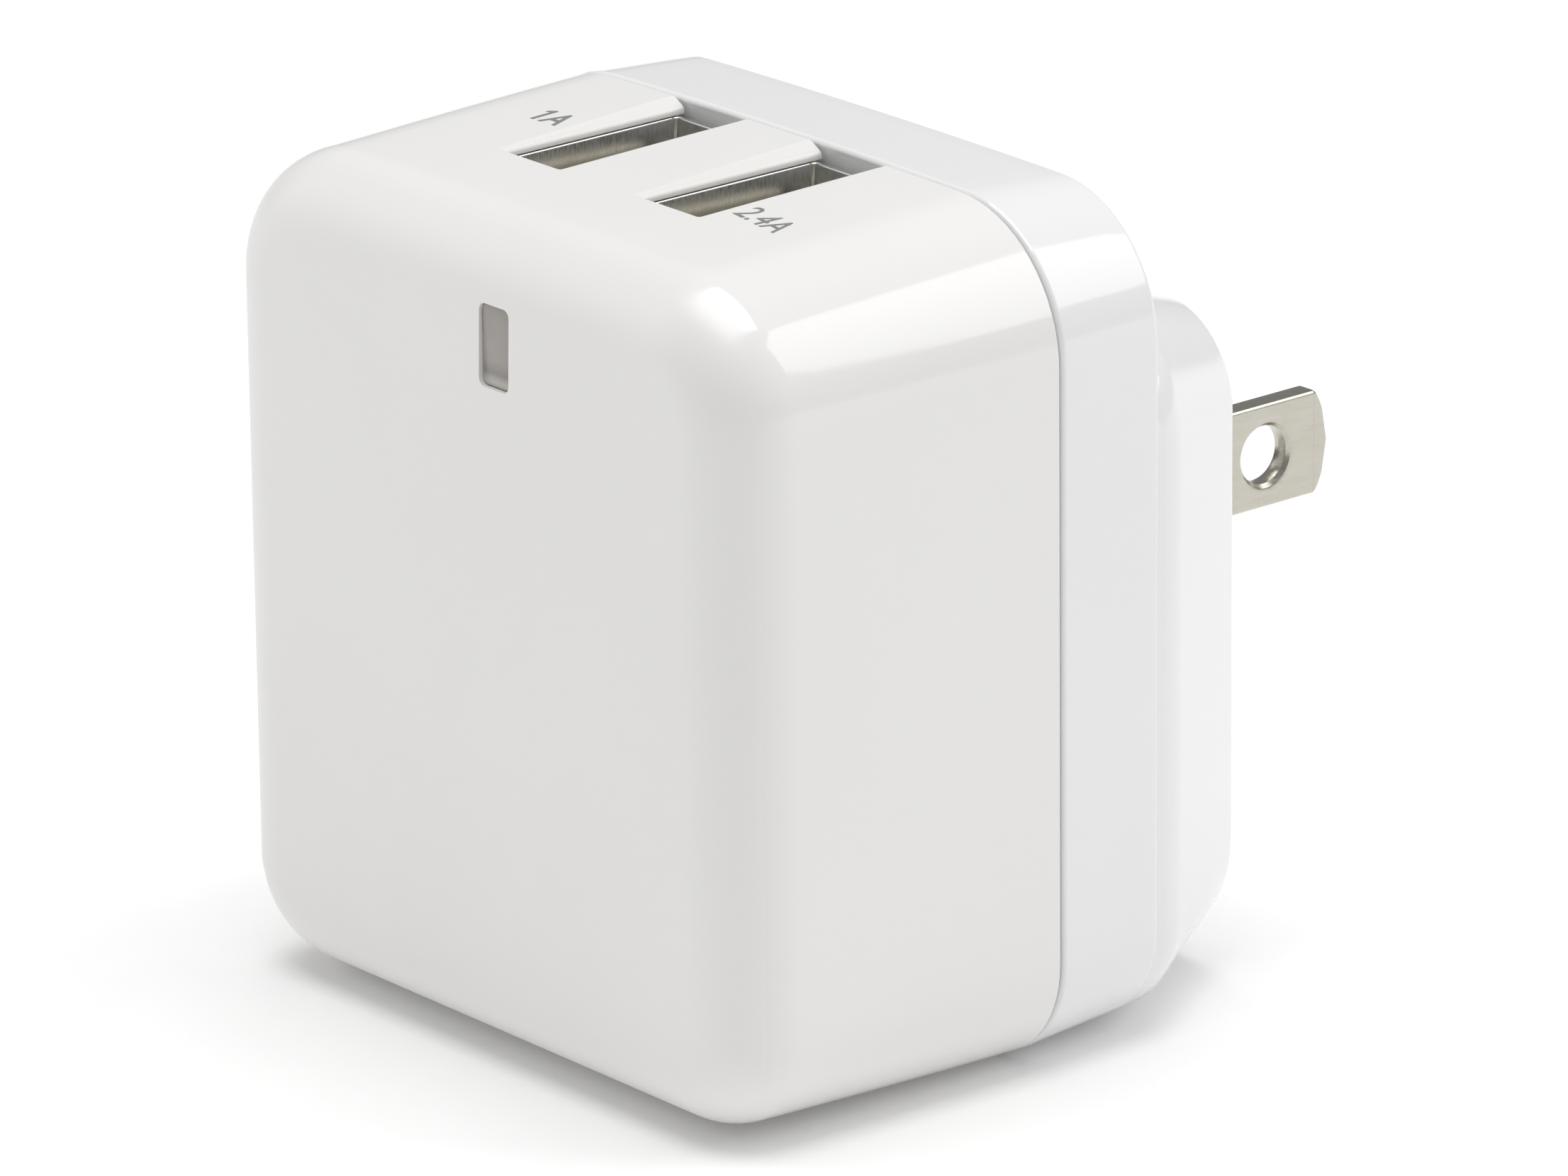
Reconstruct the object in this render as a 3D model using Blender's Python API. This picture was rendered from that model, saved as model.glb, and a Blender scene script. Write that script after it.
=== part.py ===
# Two-port USB wall charger with a folding two-blade plug.
# Frame: +Z up, +Y towards the wall outlet. The origin lies on the outlet face,
# midway between the two blades, so the plug's pivot runs along X just below it.
# All lengths are in metres.

import bpy
import bmesh
from math import cos, pi, sin
from mathutils import Matrix, Vector

# ---------------------------------------------------------------- casing
BODY_WIDTH = 0.0473
BODY_DEPTH = 0.0422          # front face to outlet face
BODY_TOP = 0.0244            # above the blades' centre line
BODY_BOTTOM = 0.0262         # below the blades' centre line
SEAM_DEPTH = 0.0188          # joint between the two halves, ahead of the outlet face
SHOULDER_DEPTH = 0.0112      # where the back starts to taper
TOP_RADIUS = 0.0083
BOTTOM_RADIUS = 0.0070
FRONT_RADIUS = 0.0045
FRONT_CROWN = 0.0003         # bulge of the front face
TOP_CROWN = 0.00035          # bulge of the top face
FRONT_DRAFT = 0.023          # inset per unit of depth
FRONT_SWELL = 0.50           # inset per unit of depth squared
REAR_DRAFT = 0.060
WALL = 0.0018
SEAM_GAP = 0.0002
REAR_RIM_RADIUS = 0.0003
LIP_LENGTH = 0.0020
LIP_THICKNESS = 0.0010
LIP_GAP = 0.00025

# tapered back that carries the plug
BACK_TOP = 0.0170
BACK_SIDE_STEP = 0.0001
BACK_STRAIGHT = 0.0014
FACE_WIDTH = 0.0346
FACE_TOP = 0.0134
FACE_BOTTOM = 0.0256
FACE_RADIUS_TOP = 0.0055
FACE_RADIUS_BOTTOM = 0.0080
FACE_EDGE = 0.0006

# ---------------------------------------------------------------- plug
BLADE_WIDTH = 0.00635
BLADE_THICKNESS = 0.00152
BLADE_SPACING = 0.0127       # centre to centre
BLADE_REACH = 0.0167         # tip beyond the outlet face
BLADE_HOLE_RADIUS = 0.0017
BLADE_HOLE_REACH = 0.0118
BLADE_TIP_BULGE = 0.0009
BLADE_TIP_FLAT = 0.0008       # half height of the flat in the middle of the tip
BLADE_TIP_CORNER = 0.0004
PIVOT_DEPTH = 0.0036         # pivot axis ahead of the outlet face
SHAFT_RADIUS = 0.0015
SHAFT_FLAT = 0.00105
SHAFT_GAP = 0.00008
SHAFT_HALF_LENGTH = 0.0100
DRUM_RADIUS = 0.0025
DRUM_HALF_LENGTH = 0.0039
DRUM_GAP = 0.0003
BLADE_KEY_GAP = 0.0001
WELL_GAP = 0.0003            # between a blade and the sides of its well
WELL_WALL = 0.0011
WELL_HALF_WIDTH = 0.0112
WELL_TOP = 0.0064

# ---------------------------------------------------------------- USB ports
PORT_PITCH = 0.0121
PORT_MOUTH = (0.00512, 0.0125)
CAN_WALL = 0.0003
CAN_HEIGHT = 0.0139
CAN_RECESS = 0.0010          # mouth below the top of the casing
CAN_GAP = 0.00015
CAN_TO_SEAM = 0.0003
PORT_BEVEL = 0.00020
TONGUE_THICKNESS = 0.00184
TONGUE_WIDTH = 0.0111
TONGUE_RECESS = 0.0016
TONGUE_WALL_GAP = 0.00072
PORT_BASE_HEIGHT = 0.0044
CONTACT_WIDTH = 0.0010
CONTACT_THICKNESS = 0.00025
CONTACT_OFFSETS = (-0.0035, -0.0010, 0.0010, 0.0035)

# ---------------------------------------------------------------- indicator
LED_X = 0.0026
LED_Z = 0.0170
WINDOW_SIZE = (0.0026, 0.0048)
WINDOW_GAP = 0.00022

# ---------------------------------------------------------------- boards
BOARD_THICKNESS = 0.0012
USB_BOARD_Z = 0.0080         # underside of the port board
MAIN_BOARD_TOP = 0.0070
MAIN_BOARD_DEPTH = 0.0122    # its back face, ahead of the outlet face
BOARD_CORNER = 0.0012        # chamfer of the main board's corners
CONTROLLER_SIZE = (0.0020, 0.0050)
CONTROLLER_TO_CAN = 0.0011
FIT = 0.0002                 # between pieces that touch

CORNER_STEPS = 8
EDGE_STEPS = 4


def clear_scene():
    for old in list(bpy.data.objects):
        bpy.data.objects.remove(old, do_unlink=True)


# ---------------------------------------------------------------- helpers
def make_material(name, colour, roughness, metallic=0.0):
    material = bpy.data.materials.new(name)
    material.use_nodes = True
    shader = material.node_tree.nodes["Principled BSDF"]
    shader.inputs["Base Color"].default_value = (*colour, 1.0)
    shader.inputs["Roughness"].default_value = roughness
    shader.inputs["Metallic"].default_value = metallic
    return material


def add_object(name, bm, material=None, smooth=True, origin=(0, 0, 0)):
    bmesh.ops.recalc_face_normals(bm, faces=bm.faces[:])
    bmesh.ops.translate(bm, verts=bm.verts[:], vec=-Vector(origin))
    mesh = bpy.data.meshes.new(name)
    bm.to_mesh(mesh)
    bm.free()
    if smooth:
        mesh.shade_smooth()
        mesh.set_sharp_from_angle(angle=0.6)
    obj = bpy.data.objects.new(name, mesh)
    obj.location = origin
    if material:
        mesh.materials.append(material)
    bpy.context.collection.objects.link(obj)
    return obj


def add_box(bm, low, high):
    size = [h - l for l, h in zip(low, high)]
    centre = [(h + l) / 2 for l, h in zip(low, high)]
    made = bmesh.ops.create_cube(bm, size=1.0)
    bmesh.ops.scale(bm, vec=size, verts=made["verts"])
    bmesh.ops.translate(bm, vec=centre, verts=made["verts"])
    return made["verts"]


def box_object(name, low, high, material, bevel=0.0):
    bm = bmesh.new()
    add_box(bm, low, high)
    if bevel:
        bmesh.ops.bevel(
            bm, geom=bm.edges[:], offset=bevel, segments=1, affect="EDGES", profile=0.5
        )
    return add_object(name, bm, material, smooth=False)


def add_cylinder(bm, centre, radius, depth, axis="X", segments=32):
    made = bmesh.ops.create_cone(
        bm, cap_ends=True, segments=segments, radius1=radius, radius2=radius, depth=depth
    )
    turns = {
        "X": Matrix.Rotation(pi / 2, 3, "Y"),
        "Y": Matrix.Rotation(pi / 2, 3, "X"),
        "Z": Matrix.Identity(3),
    }
    bmesh.ops.rotate(bm, verts=made["verts"], matrix=turns[axis])
    bmesh.ops.translate(bm, verts=made["verts"], vec=centre)
    return made["verts"]


def loft(bm, rings):
    """Skin a run of equal-sized vertex rings and close both ends."""
    loops = [[bm.verts.new(point) for point in ring] for ring in rings]
    for near, far in zip(loops, loops[1:]):
        for i, vert in enumerate(near):
            j = (i + 1) % len(near)
            bm.faces.new((vert, near[j], far[j], far[i]))
    bm.faces.new(list(reversed(loops[0])))
    bm.faces.new(loops[-1])


def turned(bm, centre, profile, axis="Y", segments=24):
    """Turn (along, radius) pairs about an axis through the centre."""
    rings = []
    for along, radius in profile:
        ring = []
        for i in range(segments):
            a = 2 * pi * i / segments
            u, v = radius * cos(a), radius * sin(a)
            local = {"X": (along, u, v), "Y": (v, along, u), "Z": (u, v, along)}[axis]
            ring.append(Vector(centre) + Vector(local))
        rings.append(ring)
    loft(bm, rings)


def cutter(name, bm):
    tool = add_object(name, bm, smooth=False)
    tool.hide_render = True
    tool.display_type = "WIRE"
    return tool


def apply_boolean(obj, tool, operation="DIFFERENCE"):
    change = obj.modifiers.new(tool.name, "BOOLEAN")
    change.operation = operation
    change.solver = "EXACT"
    change.object = tool


def section(y, half_width, top, bottom, top_radius, bottom_radius, crown=0.0):
    """Rounded-rectangle ring of the casing at depth y, with a crowned top."""
    corners = (
        (half_width - top_radius, top - top_radius, top_radius, 0.0),
        (-half_width + top_radius, top - top_radius, top_radius, pi / 2),
        (-half_width + bottom_radius, bottom + bottom_radius, bottom_radius, pi),
        (half_width - bottom_radius, bottom + bottom_radius, bottom_radius, 1.5 * pi),
    )
    outline = []
    for index, (x, z, radius, start) in enumerate(corners):
        for step in range(CORNER_STEPS + 1):
            a = start + step * pi / 2 / CORNER_STEPS
            outline.append([x + radius * cos(a), z + radius * sin(a)])
        if index == 0:
            for step in range(1, EDGE_STEPS):
                share = 1 - 2 * step / EDGE_STEPS
                outline.append([x * share, top])
    middle = (top + bottom) / 2
    ring = []
    for x, z in outline:
        lift = max(0.0, (z - middle) / (top - middle))
        ring.append(Vector((x, y, z - crown * lift * (x / half_width) ** 2)))
    return ring


def casing_ring(y, inset):
    return section(
        y,
        BODY_WIDTH / 2 - inset,
        BODY_TOP - inset,
        -BODY_BOTTOM + inset,
        max(TOP_RADIUS - inset, 0.0006),
        max(BOTTOM_RADIUS - inset, 0.0006),
        TOP_CROWN,
    )


# ---------------------------------------------------------------- derived sizes
FRONT_Y = -BODY_DEPTH
SEAM_Y = -SEAM_DEPTH
SHOULDER_Y = -SHOULDER_DEPTH
PIVOT_Y = -PIVOT_DEPTH
BLADE_X = BLADE_SPACING / 2
CAN_SIZE = tuple(side + 2 * CAN_WALL for side in PORT_MOUTH)
CAN_Y = SEAM_Y - SEAM_GAP / 2 + CAN_TO_SEAM - CAN_SIZE[1] / 2 - 0.0006
CAN_TOP = BODY_TOP - CAN_RECESS
CAN_BOTTOM = CAN_TOP - CAN_HEIGHT
PORT_X = {"1a": -PORT_PITCH / 2, "2a4": PORT_PITCH / 2}
REAR_INNER_HALF = BODY_WIDTH / 2 - WALL - LIP_GAP - LIP_THICKNESS
BOARD_HALF = REAR_INNER_HALF - 0.0010
MAIN_BOARD_BOTTOM = -BODY_BOTTOM + WALL + LIP_GAP + LIP_THICKNESS + 0.0006
MAIN_BOARD_BACK = -MAIN_BOARD_DEPTH
MAIN_BOARD_FRONT = MAIN_BOARD_BACK - BOARD_THICKNESS
USB_BOARD_TOP = USB_BOARD_Z + BOARD_THICKNESS


def front_inset(y):
    run = SEAM_Y - y
    return FRONT_DRAFT * run + FRONT_SWELL * run * run


# ---------------------------------------------------------------- casing halves
def front_shell_rings():
    rings = []
    rim = SEAM_Y - SEAM_GAP / 2
    start = FRONT_Y + FRONT_CROWN
    flat = casing_ring(FRONT_Y, FRONT_RADIUS + front_inset(FRONT_Y))
    centre = Vector((0, 0, (BODY_TOP - BODY_BOTTOM) / 2))
    for share, depth in ((0.35, 0.0), (0.75, 0.45)):
        y = FRONT_Y + FRONT_CROWN * depth
        ring = []
        for point in flat:
            spot = centre + (point - centre) * share
            ring.append(Vector((spot.x, y, spot.z)))
        rings.append(ring)
    for step in range(7):
        a = step * pi / 12
        y = start + FRONT_RADIUS * (1 - cos(a))
        rings.append(casing_ring(y, FRONT_RADIUS * (1 - sin(a)) + front_inset(y)))
    rings.append(casing_ring((start + FRONT_RADIUS + rim) / 2, front_inset((start + rim) / 2)))
    rings.append(casing_ring(rim, 0.0))
    inner = WALL
    rings.append(casing_ring(rim, inner))
    rings.append(casing_ring((start + rim) / 2, inner + front_inset((start + rim) / 2)))
    for step in (5, 3, 1):
        a = step * pi / 12
        radius = FRONT_RADIUS - WALL
        y = start + WALL + radius * (1 - cos(a))
        rings.append(casing_ring(y, inner + radius * (1 - sin(a)) + front_inset(y)))
    return rings


def port_slot_cutter(name, x):
    """Slot open towards the seam, flared a little at the top of the casing."""
    half_x = CAN_SIZE[0] / 2 + CAN_GAP
    front = CAN_Y - CAN_SIZE[1] / 2 - CAN_GAP
    rings = []
    surface = BODY_TOP - front_inset(CAN_Y) - TOP_CROWN * 0.2
    for z, flare in (
        (CAN_BOTTOM, 0.0),
        (surface - PORT_BEVEL, 0.0),
        (surface + PORT_BEVEL, 2 * PORT_BEVEL),
        (surface + 0.003, 2 * PORT_BEVEL),
    ):
        low_y, high_y = front - flare, SEAM_Y + 0.004
        side = half_x + flare
        cut = 0.0006 + flare * 0.5
        rings.append(
            [
                Vector((x - side, low_y + cut, z)),
                Vector((x - side + cut, low_y, z)),
                Vector((x + side - cut, low_y, z)),
                Vector((x + side, low_y + cut, z)),
                Vector((x + side, high_y, z)),
                Vector((x - side, high_y, z)),
            ]
        )
    bm = bmesh.new()
    loft(bm, rings)
    return cutter(name, bm)


def build_front_shell(material):
    bm = bmesh.new()
    loft(bm, front_shell_rings())
    shell = add_object("front_shell", bm, material)

    # ledges that carry the port board
    bm = bmesh.new()
    for side in (-1, 1):
        inner, outer = side * (BOARD_HALF - 0.0006), side * (BODY_WIDTH / 2 - 0.0014)
        add_box(
            bm,
            (min(inner, outer), FRONT_Y + 0.005, USB_BOARD_Z - FIT - 0.0014),
            (max(inner, outer), SEAM_Y - 0.006, USB_BOARD_Z - FIT),
        )
    ledges = cutter("front_shell_ledges", bm)
    apply_boolean(shell, ledges, "UNION")

    for key, x in PORT_X.items():
        apply_boolean(shell, port_slot_cutter("port_slot_" + key, x))

    bm = bmesh.new()
    add_box(
        bm,
        (LED_X - WINDOW_SIZE[0] / 2, FRONT_Y - 0.002, LED_Z - WINDOW_SIZE[1] / 2),
        (LED_X + WINDOW_SIZE[0] / 2, FRONT_Y + 0.005, LED_Z + WINDOW_SIZE[1] / 2),
    )
    upright = [e for e in bm.edges if abs(e.verts[0].co.y - e.verts[1].co.y) > 0.001]
    bmesh.ops.bevel(bm, geom=upright, offset=0.0003, segments=2, affect="EDGES", profile=0.5)
    apply_boolean(shell, cutter("window_hole", bm))
    return shell


def back_ring(y, inset=0.0):
    """Ring of the tapered back: share 0 at the shoulder, 1 at the outlet face."""
    start = SHOULDER_Y + BACK_STRAIGHT
    share = max(0.0, (y - start) / (0.0 - start))
    base_inset = REAR_DRAFT * (SHOULDER_Y - SEAM_Y) + BACK_SIDE_STEP

    def between(a, b):
        return a + (b - a) * share

    return section(
        y,
        between(BODY_WIDTH / 2 - base_inset, FACE_WIDTH / 2) - inset,
        between(BACK_TOP, FACE_TOP) - inset,
        between(-BODY_BOTTOM + base_inset, -FACE_BOTTOM) + inset,
        max(between(TOP_RADIUS - base_inset, FACE_RADIUS_TOP) - inset, 0.0005),
        max(between(BOTTOM_RADIUS - base_inset, FACE_RADIUS_BOTTOM) - inset, 0.0005),
    )


def rear_cover_rings():
    rim = SEAM_Y + SEAM_GAP / 2
    radius = REAR_RIM_RADIUS
    lip_outer = WALL + LIP_GAP
    lip_inner = lip_outer + LIP_THICKNESS
    draft = REAR_DRAFT * (SHOULDER_Y - SEAM_Y)
    face_y = -FACE_EDGE
    rings = [
        back_ring(-WALL, WALL),
        back_ring(SHOULDER_Y + BACK_STRAIGHT, WALL),
        back_ring(SHOULDER_Y - WALL * 0.8, WALL + 0.0002),
        casing_ring(SHOULDER_Y - WALL, WALL + draft),
        casing_ring(rim + 0.0030, WALL + REAR_DRAFT * 0.003),
        casing_ring(rim + 0.0012, lip_inner),
        casing_ring(rim - LIP_LENGTH, lip_inner),
        casing_ring(rim - LIP_LENGTH, lip_outer),
        casing_ring(rim + 0.0001, lip_outer),
        casing_ring(rim, radius),
    ]
    for step in (1, 2, 3, 4):
        a = step * pi / 8
        rings.append(casing_ring(rim + radius * (1 - cos(a)), radius * (1 - sin(a))))
    rings.append(casing_ring((rim + SHOULDER_Y) / 2, draft * 0.5))
    rings.append(casing_ring(SHOULDER_Y - 0.0003, draft * 0.96))
    rings.append(casing_ring(SHOULDER_Y, draft + 0.00015))
    rings.append(back_ring(SHOULDER_Y + 0.0002))
    rings.append(back_ring(SHOULDER_Y + BACK_STRAIGHT * 0.6))
    rings.append(back_ring(SHOULDER_Y + BACK_STRAIGHT))
    rings.append(back_ring(SHOULDER_Y * 0.5))
    rings.append(back_ring(face_y))
    rings.append(back_ring(0.0, FACE_EDGE))
    return rings


def well_block_bodies(bm):
    """Solid block behind the outlet face that the blade wells are cut into."""
    reach = BLADE_REACH + PIVOT_DEPTH
    low = -reach - WELL_GAP - 0.0004 - WELL_WALL
    inner_y = PIVOT_Y - BLADE_WIDTH / 2 - WELL_GAP - WELL_WALL
    add_box(bm, (-WELL_HALF_WIDTH, inner_y, low), (WELL_HALF_WIDTH, -WALL * 0.6, WELL_TOP))


def build_rear_cover(material):
    bm = bmesh.new()
    loft(bm, rear_cover_rings())
    cover = add_object("rear_cover", bm, material)

    bm = bmesh.new()
    well_block_bodies(bm)
    apply_boolean(cover, cutter("well_block", bm), "UNION")

    # posts that the main board rests against
    bm = bmesh.new()
    for side in (-1, 1):
        near, far = side * (BOARD_HALF - 0.0010), side * (BODY_WIDTH / 2 - 0.0016)
        add_box(
            bm,
            (min(near, far), MAIN_BOARD_BACK + FIT, MAIN_BOARD_BOTTOM + 0.003),
            (max(near, far), SHOULDER_Y + 0.0008, -0.002),
        )
    apply_boolean(cover, cutter("board_posts", bm), "UNION")

    reach = BLADE_REACH + PIVOT_DEPTH
    well_half = BLADE_THICKNESS / 2 + WELL_GAP
    inner_y = PIVOT_Y - BLADE_WIDTH / 2 - WELL_GAP
    open_y = inner_y - WELL_WALL - 0.001
    for side, name in ((-1, "left"), (1, "right")):
        bm = bmesh.new()
        add_box(
            bm,
            (side * BLADE_X - well_half, inner_y, -reach - WELL_GAP - 0.0004),
            (side * BLADE_X + well_half, 0.001, BLADE_WIDTH / 2 + WELL_GAP),
        )
        apply_boolean(cover, cutter("well_" + name, bm))

    # the block's upper part stays open so the plug drops in from inside
    bm = bmesh.new()
    ledge = PIVOT_Y - SHAFT_RADIUS - 0.0018
    entry_half = WELL_HALF_WIDTH - 0.0018
    add_box(bm, (-entry_half, open_y, -0.0047), (entry_half, ledge, 0.0075))
    apply_boolean(cover, cutter("plug_entry", bm))
    bm = bmesh.new()
    add_box(bm, (-0.0049, open_y, -0.0086), (0.0049, ledge, -0.0040))
    apply_boolean(cover, cutter("keeper_seat", bm))

    # bearing channel for the shaft and the wider channel for its drum
    for name, half, radius in (
        ("shaft_channel", SHAFT_HALF_LENGTH + 0.0002, SHAFT_RADIUS + SHAFT_GAP),
        ("drum_channel", DRUM_HALF_LENGTH + DRUM_GAP, DRUM_RADIUS + DRUM_GAP),
    ):
        bm = bmesh.new()
        ring = []
        for i in range(25):
            a = -pi / 2 + pi * i / 24
            ring.append((PIVOT_Y + radius * cos(a), radius * sin(a)))
        ring += [(open_y, radius), (open_y, -radius)]
        loft(bm, [[Vector((x, y, z)) for y, z in ring] for x in (-half, half)])
        apply_boolean(cover, cutter(name, bm))

    bm = bmesh.new()
    for z in KEEPER_SCREW_Z:
        add_cylinder(bm, (0, ledge + 0.0014, z), 0.00088, 0.0046, "Y", 16)
    apply_boolean(cover, cutter("keeper_pilot_holes", bm))

    # clear the lip where the two sockets pass through the seam
    bm = bmesh.new()
    half = PORT_PITCH / 2 + CAN_SIZE[0] / 2 + 0.0008
    add_box(
        bm,
        (-half, SEAM_Y - LIP_LENGTH - 0.001, BODY_TOP - WALL - LIP_GAP - LIP_THICKNESS - 0.001),
        (half, SEAM_Y + SEAM_GAP / 2 - 0.0001, BODY_TOP + 0.001),
    )
    apply_boolean(cover, cutter("lip_relief", bm))
    return cover


# ---------------------------------------------------------------- folding plug
KEEPER_SCREW_Z = (0.0046, -0.0064)


def blade_outline():
    """Side view of one blade in the YZ plane, counter-clockwise."""
    half = BLADE_WIDTH / 2
    tip = BLADE_REACH
    points = []
    for i in range(13):
        a = pi / 2 + pi * i / 12
        points.append((PIVOT_Y + half * cos(a), half * sin(a)))
    corner = BLADE_TIP_CORNER
    curved = half - BLADE_TIP_FLAT
    lower = []
    for i in range(5):
        share = i / 4
        z = BLADE_TIP_FLAT + (curved - corner * 0.6) * share
        lower.append((tip - BLADE_TIP_BULGE * share ** 2, -z))
    lower.append((tip - BLADE_TIP_BULGE - corner, -half))
    points += lower[::-1]
    points += [(y, -z) for y, z in lower]
    return points


def keyed_ring(x, radius, flat):
    """Circle about the pivot, cut to two flats above and below."""
    ring = []
    for i in range(32):
        a = 2 * pi * i / 32
        z = max(-flat, min(flat, radius * sin(a)))
        ring.append(Vector((x, PIVOT_Y + radius * cos(a), z)))
    return ring


def build_blade(name, side, material):
    bm = bmesh.new()
    half = BLADE_THICKNESS / 2
    x = side * BLADE_X
    outline = blade_outline()
    loft(bm, [[Vector((x + dx, y, z)) for y, z in outline] for dx in (-half, half)])
    pivot = (0, PIVOT_Y, 0)
    blade = add_object(name, bm, material, smooth=False, origin=pivot)

    bm = bmesh.new()
    add_cylinder(bm, (x, BLADE_HOLE_REACH, 0), BLADE_HOLE_RADIUS, 0.004, "X", 32)
    apply_boolean(blade, cutter(name + "_hole", bm))
    bm = bmesh.new()
    radius = SHAFT_RADIUS + BLADE_KEY_GAP
    flat = SHAFT_FLAT + BLADE_KEY_GAP
    loft(bm, [keyed_ring(x + dx, radius, flat) for dx in (-0.002, 0.002)])
    apply_boolean(blade, cutter(name + "_key", bm))
    return blade


def build_blade_carrier(material):
    bm = bmesh.new()
    key_in = BLADE_X - BLADE_THICKNESS / 2 - 0.0001
    key_out = BLADE_X + BLADE_THICKNESS / 2 + 0.0001
    step = 0.0002
    r, d = SHAFT_RADIUS, DRUM_RADIUS
    half = SHAFT_HALF_LENGTH
    stations = [
        (half, r - step, 1), (half - step, r, 1), (key_out + step, r, 1), (key_out, r, 0),
        (key_in, r, 0), (key_in - step, r, 1), (DRUM_HALF_LENGTH + step, r, 1),
        (DRUM_HALF_LENGTH, d - step, 1), (DRUM_HALF_LENGTH - step, d, 1),
    ]
    rings = []
    for x, radius, plain in stations:
        rings.append(keyed_ring(-x, radius, radius if plain else SHAFT_FLAT))
    for x, radius, plain in reversed(stations):
        rings.append(keyed_ring(x, radius, radius if plain else SHAFT_FLAT))
    loft(bm, rings)
    return add_object("blade_carrier", bm, material, origin=(0, PIVOT_Y, 0))


def build_pivot_keeper(material):
    seat = PIVOT_Y - SHAFT_RADIUS - 0.0018
    back = seat - 0.0021
    bm = bmesh.new()
    add_box(bm, (-0.0046, back, -0.0083), (0.0046, seat - FIT, 0.0062))
    keeper = add_object("pivot_keeper", bm, material, smooth=False)
    bm = bmesh.new()
    add_box(bm, (-0.0036, seat - 0.0008, -0.0024), (0.0036, PIVOT_Y - 0.0014, 0.0024))
    apply_boolean(keeper, cutter("keeper_nose", bm), "UNION")
    bm = bmesh.new()
    add_cylinder(bm, (0, PIVOT_Y, 0), DRUM_RADIUS + SHAFT_GAP, 0.02, "X", 32)
    apply_boolean(keeper, cutter("keeper_saddle", bm))
    bm = bmesh.new()
    for z in KEEPER_SCREW_Z:
        add_cylinder(bm, (0, back + 0.001, z), 0.00105, 0.006, "Y", 20)
    apply_boolean(keeper, cutter("keeper_holes", bm))
    return keeper


def build_keeper_screws(material):
    seat = PIVOT_Y - SHAFT_RADIUS - 0.0018
    back = seat - 0.0021
    for name, z in zip(("keeper_screw_upper", "keeper_screw_lower"), KEEPER_SCREW_Z):
        bm = bmesh.new()
        profile = (
            (back - FIT - 0.0011, 0.0012), (back - FIT - 0.0009, 0.0016),
            (back - FIT - 0.0002, 0.0017), (back - FIT, 0.0016),
            (back - FIT + 0.00005, 0.0008), (seat + 0.0030, 0.0008), (seat + 0.0034, 0.0003),
        )
        turned(bm, (0, 0, z), profile, "Y", 20)
        screw = add_object(name, bm, material)
        bm = bmesh.new()
        for low, high in (((-0.0010, -0.00018), (0.0010, 0.00018)),):
            add_box(bm, (low[0], back - 0.0025, z + low[1]), (high[0], back - FIT - 0.0007, z + high[1]))
        apply_boolean(screw, cutter(name + "_slot", bm))


def build_contact_springs(material):
    """Leaf springs that carry mains from the blades' roots to the main board."""
    thick = 0.0003
    face = PIVOT_Y - BLADE_WIDTH / 2 - 0.0003
    foot = MAIN_BOARD_BACK + FIT
    path = (
        (foot + thick / 2, -0.0105), (foot + thick / 2, -0.0066), (foot + 0.0010, -0.0050),
        (face - 0.0016, -0.0030), (face - thick * 0.6, -0.0006), (face - thick * 0.6, 0.0010),
        (face - 0.0012, 0.0030),
    )
    for name, side in (("contact_spring_left", -1), ("contact_spring_right", 1)):
        left, right = [], []
        for i, (y, z) in enumerate(path):
            before = Vector(path[max(i - 1, 0)])
            after = Vector(path[min(i + 1, len(path) - 1)])
            along = (after - before).normalized()
            normal = Vector((-along.y, along.x)) * thick / 2
            left.append((y + normal.x, z + normal.y))
            right.append((y - normal.x, z - normal.y))
        outline = left + right[::-1]
        bm = bmesh.new()
        x = side * (BLADE_X + 0.0004)
        loft(bm, [[Vector((x + dx, y, z)) for y, z in outline] for dx in (-0.0011, 0.0011)])
        add_object(name, bm, material, smooth=False)


# ---------------------------------------------------------------- USB sockets
def build_usb_can(key, x, material):
    w, d = CAN_SIZE[0] / 2, CAN_SIZE[1] / 2
    iw, idp = PORT_MOUTH[0] / 2, PORT_MOUTH[1] / 2

    def ring(z, half_x, half_y, cut):
        corners = ((1, 1), (-1, 1), (-1, -1), (1, -1))
        points = []
        for sx, sy in corners:
            pair = [
                Vector((x + sx * half_x, CAN_Y + sy * (half_y - cut), z)),
                Vector((x + sx * (half_x - cut), CAN_Y + sy * half_y, z)),
            ]
            points += pair if sx * sy > 0 else pair[::-1]
        return points

    bottom, top = USB_BOARD_TOP + FIT, CAN_TOP
    flare = 0.00004
    loops = [
        ring(bottom, w, d, 0.0005), ring(top - 0.0004, w, d, 0.0005),
        ring(top, w - flare, d - flare, 0.0004), ring(top, iw, idp, 0.0003),
        ring(bottom, iw, idp, 0.0003),
    ]
    bm = bmesh.new()
    verts = [[bm.verts.new(point) for point in loop] for loop in loops]
    for k, near in enumerate(verts):
        far = verts[(k + 1) % len(verts)]
        for i in range(len(near)):
            j = (i + 1) % len(near)
            bm.faces.new((near[i], near[j], far[j], far[i]))
    can = add_object("usb_can_" + key, bm, material, smooth=False)

    # windows that the real can's retention springs are cut from
    bm = bmesh.new()
    for side in (-1, 1):
        for y in (-0.0030, 0.0030):
            add_box(
                bm,
                (x + side * w - 0.0006, CAN_Y + y - 0.0009, top - 0.0065),
                (x + side * w + 0.0006, CAN_Y + y + 0.0009, top - 0.0035),
            )
    apply_boolean(can, cutter("usb_can_windows_" + key, bm))


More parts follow.
